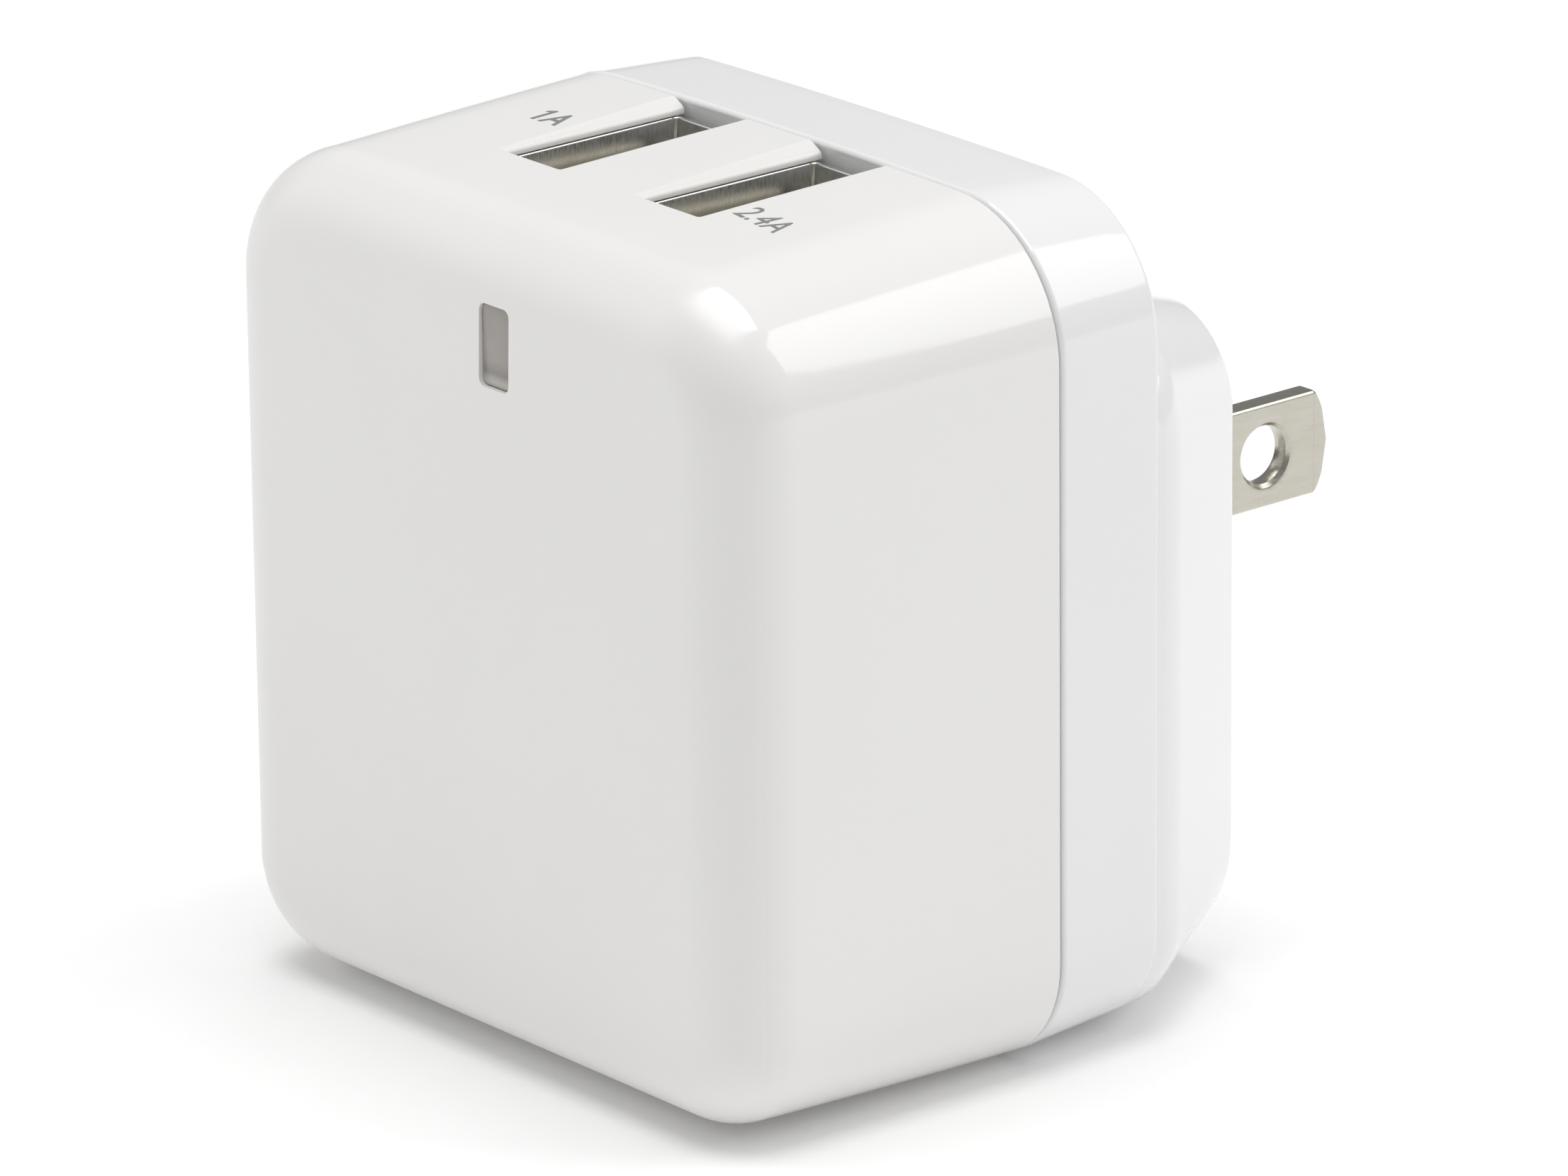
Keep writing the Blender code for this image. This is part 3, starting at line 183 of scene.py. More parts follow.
looks = {
    # PC/ABS from a satin mould: warm off-white, soft gloss
    "satinPolycarbonate": {
        "surface": {"IOR": 1.58, "Specular IOR Level": 0.5},
        "hues": ("F0EFED", "ECEBE9"), "cloud": 14 * mm, "rough": (0.345, 0.35),
        "grain": 0.30 * mm, "depth": 0.0001 * mm,
        "polished": {"from": -40.0 * mm, "to": -38.2 * mm, "rough": 0.09}},
    # the same resin from a polished mould, a touch cooler and glossier
    "polishedPolycarbonate": {
        "surface": {"IOR": 1.58, "Specular IOR Level": 0.5},
        "hues": ("F0F0F0", "ECECED"), "cloud": 16 * mm, "rough": (0.07, 0.11),
        "grain": 0.9 * mm, "depth": 0.0006 * mm},
    # rolled brass strip under bright nickel: warm grey metal with drawn lines along the strip
    "nickelPlate": {
        "surface": {"Metallic": 1.0},
        "hues": ("C4C1B8", "B6B2A6"), "cloud": 3 * mm, "rough": (0.17, 0.30), "stretch": (6, 1, 6),
        "grain": 0.9 * mm, "depth": 0.0018 * mm},
    # unfilled nylon 66, as moulded: milky and a little waxy
    "milkNylon": {
        "surface": {"IOR": 1.53},
        "hues": ("E2E0D8", "D7D4CA"), "cloud": 5 * mm, "rough": (0.38, 0.50),
        "grain": 0.25 * mm, "depth": 0.003 * mm},
    # tin plated spring steel, folded: bright with slight orange peel
    "tinnedSteel": {
        "surface": {"Metallic": 1.0},
        "hues": ("D6D6D4", "C6C6C5"), "cloud": 2.5 * mm, "rough": (0.16, 0.27), "stretch": (1, 4, 1),
        "grain": 0.5 * mm, "depth": 0.0015 * mm},
    # zinc plated screw with clear passivation
    "zincPlate": {
        "surface": {"Metallic": 1.0},
        "hues": ("B9BBBE", "A7AAAD"), "cloud": 0.8 * mm, "rough": (0.26, 0.38),
        "grain": 0.15 * mm, "depth": 0.002 * mm},
    # phosphor bronze leaf, rolled
    "phosphorBronze": {
        "surface": {"Metallic": 1.0},
        "hues": ("CF9B62", "BE8850"), "cloud": 1.5 * mm, "rough": (0.24, 0.36), "stretch": (6, 1, 1),
        "grain": 0.4 * mm, "depth": 0.002 * mm},
    # gold flash over nickel on the contacts
    "goldFlash": {
        "surface": {"Metallic": 1.0},
        "hues": ("E8C173", "DDB263"), "cloud": 1.2 * mm, "rough": (0.18, 0.28),
        "grain": 0.2 * mm, "depth": 0.001 * mm},
    # glass filled PBT, black: matt with glass streaks
    "blackPolyester": {
        "surface": {"IOR": 1.55},
        "hues": ("232323", "2C2C2D"), "cloud": 1.6 * mm, "rough": (0.42, 0.58), "stretch": (1, 1, 3),
        "grain": 0.12 * mm, "depth": 0.003 * mm},
    # natural liquid crystal polymer: ivory, with flow streaks along the tongue
    "ivoryPolymer": {
        "surface": {"IOR": 1.60},
        "hues": ("DCD6C3", "CFC8B2"), "cloud": 1.8 * mm, "rough": (0.40, 0.54), "stretch": (2, 2, 0.7),
        "grain": 0.15 * mm, "depth": 0.003 * mm},
    # clear yellow epoxy of the small lamp
    "lampEpoxy": {
        "surface": {"IOR": 1.50, "Coat Weight": 0.3, "Coat Roughness": 0.08},
        "hues": ("EBDFA6", "E0CF84"), "cloud": 0.8 * mm, "rough": (0.14, 0.24),
        "grain": 0.2 * mm, "depth": 0.001 * mm},
    # glass epoxy board under green solder mask, the weave just showing
    "solderMask": {
        "surface": {"IOR": 1.50},
        "hues": ("1F5E33", "174B28"), "cloud": 2.2 * mm, "rough": (0.28, 0.42),
        "grain": 0.5 * mm, "depth": 0.004 * mm,
        "bands": {"along": "X", "pitch": 2.1 * mm, "wander": 3.5, "edge": 0.12, "hue": "2F7A46",
                  "raised": False}},
    # sintered manganese zinc ferrite: dark grey, ground faces
    "sinteredFerrite": {
        "surface": {"IOR": 1.70},
        "hues": ("3B3B3E", "303033"), "cloud": 1.0 * mm, "rough": (0.45, 0.66),
        "grain": 0.12 * mm, "depth": 0.006 * mm},
    # yellow polyester tape, overlapping turns
    "polyesterTape": {
        "surface": {"IOR": 1.57},
        "hues": ("E7C435", "DCB728"), "cloud": 3 * mm, "rough": (0.22, 0.36),
        "grain": 0.4 * mm, "depth": 0.006 * mm,
        "bands": {"along": "Y", "pitch": 5.2 * mm, "wander": 0.4, "edge": 0.02, "hue": "B8921C",
                  "raised": False}},
    # shrink sleeve of the capacitors: near black with a pale polarity stripe
    "shrinkSleeve": {
        "surface": {"IOR": 1.54},
        "hues": ("20252E", "2A3039"), "cloud": 4 * mm, "rough": (0.24, 0.38),
        "grain": 0.5 * mm, "depth": 0.004 * mm,
        "bands": {"along": "X", "pitch": 9.0 * mm, "wander": 0.0, "edge": 0.04, "hue": "B9BDC2",
                  "raised": False}},
    # flameproof coat on the fusible resistor, with its colour rings
    "flameproofCoat": {
        "surface": {"IOR": 1.55},
        "hues": ("4F7A6E", "456E63"), "cloud": 1.5 * mm, "rough": (0.42, 0.58),
        "grain": 0.2 * mm, "depth": 0.006 * mm,
        "bands": {"along": "Y", "pitch": 1.9 * mm, "wander": 0.0, "edge": 0.10, "hue": "7A3B1E",
                  "raised": False}},
    # enamelled copper wire, side by side turns of 0.25 mm, with painted shade in the grooves between turns
    "enamelledCopper": {
        "surface": {"Metallic": 1.0, "Coat Weight": 0.5, "Coat Roughness": 0.12},
        "hues": ("B4622F", "A5552A"), "cloud": 1.5 * mm, "rough": (0.26, 0.40),
        "grain": 0.4 * mm, "depth": 0.08 * mm,
        # the dark hue is painted shade, laid in the low parts of the raised turns
        "bands": {"along": "Y", "pitch": 0.25 * mm, "wander": 0.15, "edge": 0.10, "hue": "5B2A12",
                  "raised": True}},
    # blue epoxy dip on the safety capacitor, with a drip texture
    "epoxyDip": {
        "surface": {"IOR": 1.56},
        "hues": ("2F63A8", "28569A"), "cloud": 2 * mm, "rough": (0.30, 0.44),
        "grain": 0.7 * mm, "depth": 0.02 * mm},
    # calendered insulation paper, fibres running along the sheet
    "fishPaper": {
        "surface": {"IOR": 1.45},
        "hues": ("B9B196", "A79E82"), "cloud": 1.3 * mm, "rough": (0.60, 0.78), "stretch": (1, 4, 1),
        "grain": 0.18 * mm, "depth": 0.01 * mm},
    # pad printed ink: thin grey film, slightly uneven
    "greyInk": {
        "surface": {"IOR": 1.48},
        "hues": ("7C7C7D", "8A8A8B"), "cloud": 0.5 * mm, "rough": (0.35, 0.50),
        "grain": 0.1 * mm, "depth": 0.001 * mm},
}
finish = {name: surfaceOf(name, look) for name, look in looks.items()}

# smoked polycarbonate light pipe: grey, with a painted highlight that makes it paler at its foot and a
# painted shade band just above that
smoke, smokeTree, smokeShader, smokeSpot, smokePlace = startMaterial("smokedLens", {
    "IOR": 1.58, "Transmission Weight": 0.15, "Roughness": 0.22})
depthFade = addNode(smokeTree, "ShaderNodeTexNoise", {"Scale": 1 / (1.5 * mm), "Detail": 2.0},
                    {"Vector": smokeSpot.outputs[0]})
smokeTint = addNode(smokeTree, "ShaderNodeMix", {"data_type": "RGBA", 6: hexColour("AFAAA4"),
                                                 7: hexColour("A29D97")}, {0: depthFade.outputs[0]})
height = addNode(smokeTree, "ShaderNodeSeparateXYZ", {}, {0: smokePlace.outputs["Object"]})
# painted highlight: the colour is made paler over the bottom of the lens
foot = addNode(smokeTree, "ShaderNodeMapRange", {
    "From Min": 14.95 * mm, "From Max": 15.45 * mm, "To Min": 1.0, "To Max": 0.0},
    {"Value": height.outputs["Z"]})
# painted shade: a darker band in the colour just above the pale foot
shade = addNode(smokeTree, "ShaderNodeMapRange", {
    "From Min": 15.35 * mm, "From Max": 16.2 * mm, "To Min": 1.0, "To Max": 0.0},
    {"Value": height.outputs["Z"]})
paintedShadeBand = addNode(smokeTree, "ShaderNodeMix", {"data_type": "RGBA", 7: hexColour("918B85")},
                 {0: shade.outputs[0], 6: smokeTint.outputs[2]})
paintedFootHighlight = addNode(smokeTree, "ShaderNodeMix", {"data_type": "RGBA", 7: hexColour("C6C2BC")},
                {0: foot.outputs[0], 6: paintedShadeBand.outputs[2]})
smokeTree.links.new(paintedFootHighlight.outputs[2], smokeShader.inputs["Base Color"])
finish["smokedLens"] = smoke
print("materials made:", len(finish))


def wrapSkin(rings):
    # a grid wrapped round a run of rings, sewn where its sides meet
    around, along = len(rings[0]), len(rings) - 1
    bm = bmesh.new()
    bmesh.ops.create_grid(bm, x_segments=around, y_segments=along, size=1)
    for vert in bm.verts:
        column = round((vert.co.x + 1) / 2 * around) % around
        row = round((vert.co.y + 1) / 2 * along)
        vert.co = rings[row][column]
    bmesh.ops.remove_doubles(bm, verts=bm.verts, dist=1e-8)
    return bm


def closeEnds(bm):
    rim = [e for e in bm.edges if e.is_boundary]
    if rim:
        bmesh.ops.holes_fill(bm, edges=rim, sides=0)
    bmesh.ops.recalc_face_normals(bm, faces=bm.faces)
    return bm


def block(low, high, bm=None):
    bm = bm or bmesh.new()
    low, high = Vector(low), Vector(high)
    made = bmesh.ops.create_cube(bm, size=1.0)["verts"]
    bmesh.ops.scale(bm, vec=high - low, verts=made)
    bmesh.ops.translate(bm, vec=(high + low) / 2, verts=made)
    return bm


def rod(centre, radius, length, segments=48, turn=("Y", pi / 2)):
    bm = bmesh.new()
    bmesh.ops.create_cone(bm, cap_ends=True, segments=segments, radius1=radius, radius2=radius, depth=length)
    bmesh.ops.rotate(bm, verts=bm.verts, matrix=Matrix.Rotation(turn[1], 3, turn[0]))
    bmesh.ops.translate(bm, verts=bm.verts, vec=centre)
    return bm


def newPiece(name, bm):
    mesh = bpy.data.meshes.new(name)
    bm.to_mesh(mesh)
    bm.free()
    piece = bpy.data.objects.new(name, mesh)
    bpy.context.collection.objects.link(piece)
    return piece


def reshape(piece, tool, operation="DIFFERENCE"):
    # one boolean, applied at once, and its tool thrown away
    helper = newPiece("helper", tool)
    step = piece.modifiers.new("helper", "BOOLEAN")
    step.operation = operation
    step.solver = "EXACT"
    step.object = helper
    bpy.context.view_layer.update()
    graph = bpy.context.evaluated_depsgraph_get()
    done = bpy.data.meshes.new_from_object(piece.evaluated_get(graph))
    piece.modifiers.clear()
    piece.data, old = done, piece.data
    bpy.data.meshes.remove(old)
    bpy.data.objects.remove(helper)
    piece.data.name = piece.name


def soften(piece, chosen, offset, segments):
    bm = bmesh.new()
    bm.from_mesh(piece.data)
    bmesh.ops.remove_doubles(bm, verts=bm.verts, dist=1e-7)
    crease = 0.4
    edges = [e for e in bm.edges if e.calc_face_angle(0) > crease
             and chosen(sum((v.co for v in e.verts), Vector()) / 2, e)]
    bmesh.ops.bevel(bm, geom=edges, offset=offset, segments=segments, profile=0.5, affect="EDGES",
                    material=-1, clamp_overlap=True)
    bm.to_mesh(piece.data)
    bm.free()


def dress(piece, material, body, stoodFor=(), sharp=0.6, weighted=False):
    piece.data.materials.clear()
    piece.data.materials.append(material)
    piece.data.shade_smooth()
    piece.data.set_sharp_from_angle(angle=sharp)
    if weighted:
        piece.modifiers.new("faceWeights", "WEIGHTED_NORMAL").keep_sharp = True
    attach(piece, body)
    if stoodFor:
        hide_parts(*stoodFor)
    return piece


# ---- casing, both halves on the same rounded outline
shellLow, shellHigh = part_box("front_shell")
casing = {
    "halfWidth": shellHigh.x, "top": shellHigh.z, "bottom": shellLow.z,
    "frontY": shellLow.y, "rimY": shellHigh.y, "seamGap": 0.2 * mm, "wall": 1.8 * mm,
    "topRadius": 8.3 * mm, "bottomRadius": 7.0 * mm, "frontRadius": 4.5 * mm,
    "frontCrown": 0.3 * mm, "topCrown": 0.35 * mm, "draft": 0.023, "swell": 0.5,
    "cornerSteps": 16, "edgeSteps": 20, "rimEdge": 0.12 * mm, "leastRadius": 0.6 * mm,
}
seamY = casing["rimY"] + casing["seamGap"] / 2


def outline(y, halfWidth, top, bottom, topRadius, bottomRadius, crown=0.0):
    corners = ((halfWidth - topRadius, top - topRadius, topRadius),
               (topRadius - halfWidth, top - topRadius, topRadius),
               (bottomRadius - halfWidth, bottom + bottomRadius, bottomRadius),
               (halfWidth - bottomRadius, bottom + bottomRadius, bottomRadius))
    flat = []
    for index, (x, z, radius) in enumerate(corners):
        for step in range(casing["cornerSteps"] + 1):
            turn = (index + step / casing["cornerSteps"]) * pi / 2
            flat.append(Vector((x + radius * cos(turn), z + radius * sin(turn))))
        nextX, nextZ, nextRadius = corners[(index + 1) % 4]
        turn = (index + 1) * pi / 2
        here = flat[-1]
        there = Vector((nextX + nextRadius * cos(turn), nextZ + nextRadius * sin(turn)))
        for step in range(1, casing["edgeSteps"]):
            flat.append(here.lerp(there, step / casing["edgeSteps"]))
    middle = (top + bottom) / 2
    ring = []
    for spot in flat:
        lift = max(0.0, (spot.y - middle) / (top - middle))
        ring.append(Vector((spot.x, y, spot.y - crown * lift * (spot.x / halfWidth) ** 2)))
    return ring


def casingRing(y, inset):
    least = casing["leastRadius"]
    return outline(y, casing["halfWidth"] - inset, casing["top"] - inset, casing["bottom"] + inset,
                   max(casing["topRadius"] - inset, least), max(casing["bottomRadius"] - inset, least),
                   casing["topCrown"])


def frontInset(y):
    run = seamY - y
    return casing["draft"] * run + casing["swell"] * run * run


def topHeight(x, y):
    return casing["top"] - frontInset(y) - casing["topCrown"] * (x / casing["halfWidth"]) ** 2


def faceRings(face, y, crown, shares):
    centre = sum(face, Vector()) / len(face)
    rings = []
    for share in shares:
        rings.append([Vector((centre.x + (p.x - centre.x) * share, y + crown * share ** 2,
                              centre.z + (p.z - centre.z) * share)) for p in face])
    return rings


def frontShellRings():
    radius, wall, rim = casing["frontRadius"], casing["wall"], casing["rimY"]
    front, crown = casing["frontY"], casing["frontCrown"]
    start = front + crown
    rings = faceRings(casingRing(front, radius + frontInset(front)), front, crown,
                      (0.06, 0.2, 0.35, 0.5, 0.65, 0.78, 0.88, 0.95))
    for step in range(15):
        a = step * pi / 28
        y = start + radius * (1 - cos(a))
        rings.append(casingRing(y, radius * (1 - sin(a)) + frontInset(y)))
    sides, edge = 10, casing["rimEdge"]
    for step in range(1, sides):
        y = start + radius + (rim - edge - start - radius) * step / sides
        rings.append(casingRing(y, frontInset(y)))
    for step in range(5):
        a = step * pi / 8
        rings.append(casingRing(rim - edge * (1 - sin(a)), edge * (1 - cos(a))))
    rings.append(casingRing(rim, wall))
    for step in range(1, 6):
        y = rim + (start + radius - rim) * step / 5
        rings.append(casingRing(y, wall + frontInset(y)))
    inner = radius - wall
    for step in range(7, 0, -1):
        a = step * pi / 16
        y = start + wall + inner * (1 - cos(a))
        rings.append(casingRing(y, wall + inner * (1 - sin(a)) + frontInset(y)))
    rings += faceRings(rings[-1], start + wall, 0.0, (0.7, 0.3, 0.06))
    return rings


slots = {
    "clear": 0.15 * mm,          # round the metal can
    "overRim": 0.06 * mm,        # the plastic closes over the can's rim just above it
    "rimCover": 0.33 * mm,
    "flareFrom": 0.14 * mm,      # above the can's mouth
    "rollRadius": 0.45 * mm,     # the lip rolls over outwards, more on the left
    "rollTurns": (0, 18, 36, 50, 60),
    "rightShare": 0.6,
    "corner": 0.22 * mm,
    "edge": 0.16 * mm,
}


def slotTool(can):
    low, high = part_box(can)
    x, wide = (low.x + high.x) / 2, (high.x - low.x) / 2 + slots["clear"]
    narrow = (high.x - low.x) / 2 - slots["rimCover"]
    front, back = low.y - slots["clear"], seamY + 4 * mm
    mouthFront = low.y + slots["rimCover"]
    up, radius, rings = high.z + slots["flareFrom"], slots["rollRadius"], []
    levels = [(low.z, wide, front, 0), (high.z + slots["overRim"], wide, front, 0),
              (high.z + slots["overRim"], narrow, mouthFront, 0)]
    for turn in slots["rollTurns"]:
        a = radians(turn)
        levels.append((up + radius * sin(a), narrow, mouthFront, radius * (1 - cos(a))))
    z, half, near, out = levels[-1]
    beyond = 2 * mm
    levels.append((z + beyond / tan(radians(slots["rollTurns"][-1])), half, near, out + beyond))
    for z, half, near, out in levels:
        left, right, near = x - half - out, x + half + out * slots["rightShare"], near - out
        corner, ring = slots["corner"], [Vector((right, back, z)), Vector((left, back, z))]
        for centreX, first in ((left + corner, pi), (right - corner, 1.5 * pi)):
            for step in range(5):
                a = first + step / 4 * pi / 2
                ring.append(Vector((centreX + corner * cos(a), near + corner * (1 + sin(a)), z)))
        rings.append(ring)
    return closeEnds(wrapSkin(rings))


pipeLow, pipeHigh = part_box("light_pipe")
window = {
    "x": (pipeLow.x + pipeHigh.x) / 2, "z": 17.0 * mm, "width": 2.6 * mm, "height": 4.8 * mm,
    "corner": 0.45 * mm, "edge": 0.16 * mm, "lensGap": 0.04 * mm,
}


def roundedBar(x, z, width, height, corner, yLow, yHigh, segments=5):
    bm = block((x - width / 2, yLow, z - height / 2), (x + width / 2, yHigh, z + height / 2))
    along = [e for e in bm.edges if abs(e.verts[0].co.y - e.verts[1].co.y) > 1e-5]
    bmesh.ops.bevel(bm, geom=along, offset=corner, segments=segments, profile=0.5, affect="EDGES",
                    material=-1)
    return bm


ledge = {"overlap": 0.6 * mm, "intoWall": 1.4 * mm, "front": 5 * mm, "back": 6 * mm,
         "thick": 1.4 * mm, "gap": 0.2 * mm}


def buildFrontShell():
    shell = newPiece("frontShell", closeEnds(wrapSkin(frontShellRings())))
    boardLow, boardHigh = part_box("usb_board")
    for side in (-1, 1):
        near = side * (boardHigh.x - ledge["overlap"])
        far = side * (casing["halfWidth"] - ledge["intoWall"])
        top = boardLow.z - ledge["gap"]
        shelf = block((min(near, far), casing["frontY"] + ledge["front"], top - ledge["thick"]),
                      (max(near, far), seamY - ledge["back"], top))
        reshape(shell, shelf, "UNION")
    for can in ("usb_can_1a", "usb_can_2a4"):
        reshape(shell, slotTool(can))
    front = casing["frontY"]
    reshape(shell, roundedBar(window["x"], window["z"], window["width"], window["height"], window["corner"],
                              front - 2 * mm, front + 5 * mm))

    def onSlotEdge(spot, edge):
        return (abs(spot.x) < 11 * mm and spot.y > front + 6 * mm and spot.y < casing["rimY"] - 0.05 * mm
                and spot.z > topHeight(spot.x, spot.y) - 0.08 * mm)

    def onWindowEdge(spot, edge):
        return (spot.y < front + 0.3 * mm and abs(spot.x - window["x"]) < window["width"] / 2 + 0.1 * mm
                and abs(spot.z - window["z"]) < window["height"] / 2 + 0.1 * mm)

    soften(shell, onSlotEdge, slots["edge"], 2)
    soften(shell, onWindowEdge, window["edge"], 3)
    return dress(shell, finish["satinPolycarbonate"], "casing", ("front_shell",),
                 sharp=0.7, weighted=True)


buildFrontShell()
print("front shell")

cover = {
    "draft": 0.060, "shoulderY": -11.2 * mm, "rimRadius": 0.3 * mm,
    "lipLength": 2.0 * mm, "lipThickness": 1.0 * mm, "lipGap": 0.25 * mm,
    "backTop": 17.0 * mm, "sideStep": 0.1 * mm, "straight": 1.4 * mm,
    "faceWidth": 34.6 * mm, "faceTop": 13.4 * mm, "faceBottom": 25.6 * mm,
    "faceRadiusTop": 5.5 * mm, "faceRadiusBottom": 8.0 * mm, "faceEdge": 0.6 * mm,
    "shoulderEdge": 0.35 * mm, "slotEdge": 0.25 * mm,
}


def backRing(y, inset=0.0):
    start = cover["shoulderY"] + cover["straight"]
    share = max(0.0, -(y - start) / start)
    base = cover["draft"] * (cover["shoulderY"] - seamY) + cover["sideStep"]

    def between(a, b):
        return a + (b - a) * share

    return outline(y, between(casing["halfWidth"] - base, cover["faceWidth"] / 2) - inset,
                   between(cover["backTop"], cover["faceTop"]) - inset,
                   between(casing["bottom"] + base, -cover["faceBottom"]) + inset,
                   max(between(casing["topRadius"] - base, cover["faceRadiusTop"]) - inset, 0.5 * mm),
                   max(between(casing["bottomRadius"] - base, cover["faceRadiusBottom"]) - inset, 0.5 * mm))


def shoulderRing(y, inset, fall):
    # only the top rolls over: the sides run on into the tapered back
    return outline(y, casing["halfWidth"] - inset, casing["top"] - inset - fall, casing["bottom"] + inset,
                   casing["topRadius"] - inset, casing["bottomRadius"] - inset, casing["topCrown"])


def rearCoverRings():
    rim, wall, shoulder = seamY + casing["seamGap"] / 2, casing["wall"], cover["shoulderY"]
    lipOuter = wall + cover["lipGap"]
    lipInner = lipOuter + cover["lipThickness"]
    draft = cover["draft"] * (shoulder - seamY)
    rings = faceRings(backRing(-wall, wall), -wall, 0.0, (0.06, 0.5))
    rings += [
        backRing(-wall, wall), backRing((shoulder - wall) / 2, wall),
        backRing(shoulder + cover["straight"], wall),
        backRing(shoulder - wall * 0.8, wall + 0.2 * mm),
        casingRing(shoulder - wall, wall + draft),
        casingRing(rim + 3 * mm, wall + cover["draft"] * 3 * mm),
        casingRing(rim + 1.2 * mm, lipInner), casingRing(rim - cover["lipLength"], lipInner),
        casingRing(rim - cover["lipLength"], lipOuter), casingRing(rim + 0.1 * mm, lipOuter),
    ]
    radius, steps = cover["rimRadius"], 10
    for step in range(steps + 1):
        a = step * pi / 2 / steps
        rings.append(casingRing(rim + radius * (1 - cos(a)), radius * (1 - sin(a))))
    edge = cover["shoulderEdge"]
    first, last = rim + radius, shoulder - edge
    for step in range(1, 6):
        y = first + (last - first) * step / 5
        rings.append(casingRing(y, draft * (y - first) / (shoulder - first)))
    for step in range(1, 5):
        a = step * pi / 8
        y = last + edge * sin(a)
        rings.append(shoulderRing(y, draft * (y - first) / (shoulder - first) + cover["sideStep"] * step / 5,
                                  edge * (1 - cos(a))))
    base = draft + cover["sideStep"]
    rings.append(outline(shoulder + 0.02 * mm, casing["halfWidth"] - base, cover["backTop"] + 0.5 * mm,
                         casing["bottom"] + base, casing["topRadius"] - base, casing["bottomRadius"] - base))
    for step in range(1, 5):
        a = step * pi / 8
        rings.append(outline(shoulder + 0.5 * mm * (1 - cos(a)) + 0.03 * mm, casing["halfWidth"] - base,
                             cover["backTop"] + 0.5 * mm * (1 - sin(a)), casing["bottom"] + base,
                             casing["topRadius"] - base, casing["bottomRadius"] - base))
    for step in range(9):
        y = shoulder + cover["straight"] + (-cover["faceEdge"] - shoulder - cover["straight"]) * step / 8
        rings.append(backRing(y))
    for step in range(1, 6):
        a = step * pi / 10
        rings.append(backRing(-cover["faceEdge"] * (1 - sin(a)), cover["faceEdge"] * (1 - cos(a))))
    rings += faceRings(rings[-1], 0.0, 0.0, (0.9, 0.06))
    return rings


plug = {
    "pivotY": -3.6 * mm, "shaftRadius": 1.5 * mm, "shaftHalf": 10.0 * mm,
    "drumRadius": 2.5 * mm, "drumHalf": 3.9 * mm, "wellGap": 0.3 * mm, "wellWall": 1.1 * mm,
    "blockHalf": 11.2 * mm, "blockTop": 6.4 * mm,
    "holeRadius": 1.7 * mm, "holeReach": 11.8 * mm, "holeEdge": 0.60 * mm,
    "tipBulge": 0.9 * mm, "tipCorner": 0.30 * mm, "edge": 0.28 * mm, "bladeSteps": 96,
    "keyRadius": 1.6 * mm, "keyFlat": 1.15 * mm, "keySteps": 48,
    "shaftGap": 0.08 * mm, "shaftEndGap": 0.2 * mm, "drumGap": 0.3 * mm,
    "tipRoom": 0.4 * mm, "ledgeThick": 1.8 * mm, "openBeyond": 1 * mm,
    "pocketLow": -4.7 * mm, "pocketHigh": 7.5 * mm,
    "keeperHalf": 4.9 * mm, "keeperLow": -8.6 * mm, "keeperHigh": -4.0 * mm,
    "stopLow": 3 * mm, "stopHigh": -2 * mm,
}


def channel(half, radius, openY):
    rings = []
    for x in (-half, half):
        ring = [Vector((x, openY, -radius))]
        for step in range(33):
            a = -pi / 2 + step * pi / 32
            ring.append(Vector((x, plug["pivotY"] + radius * cos(a), radius * sin(a))))
        ring.append(Vector((x, openY, radius)))
        rings.append(ring)
    return closeEnds(wrapSkin(rings))


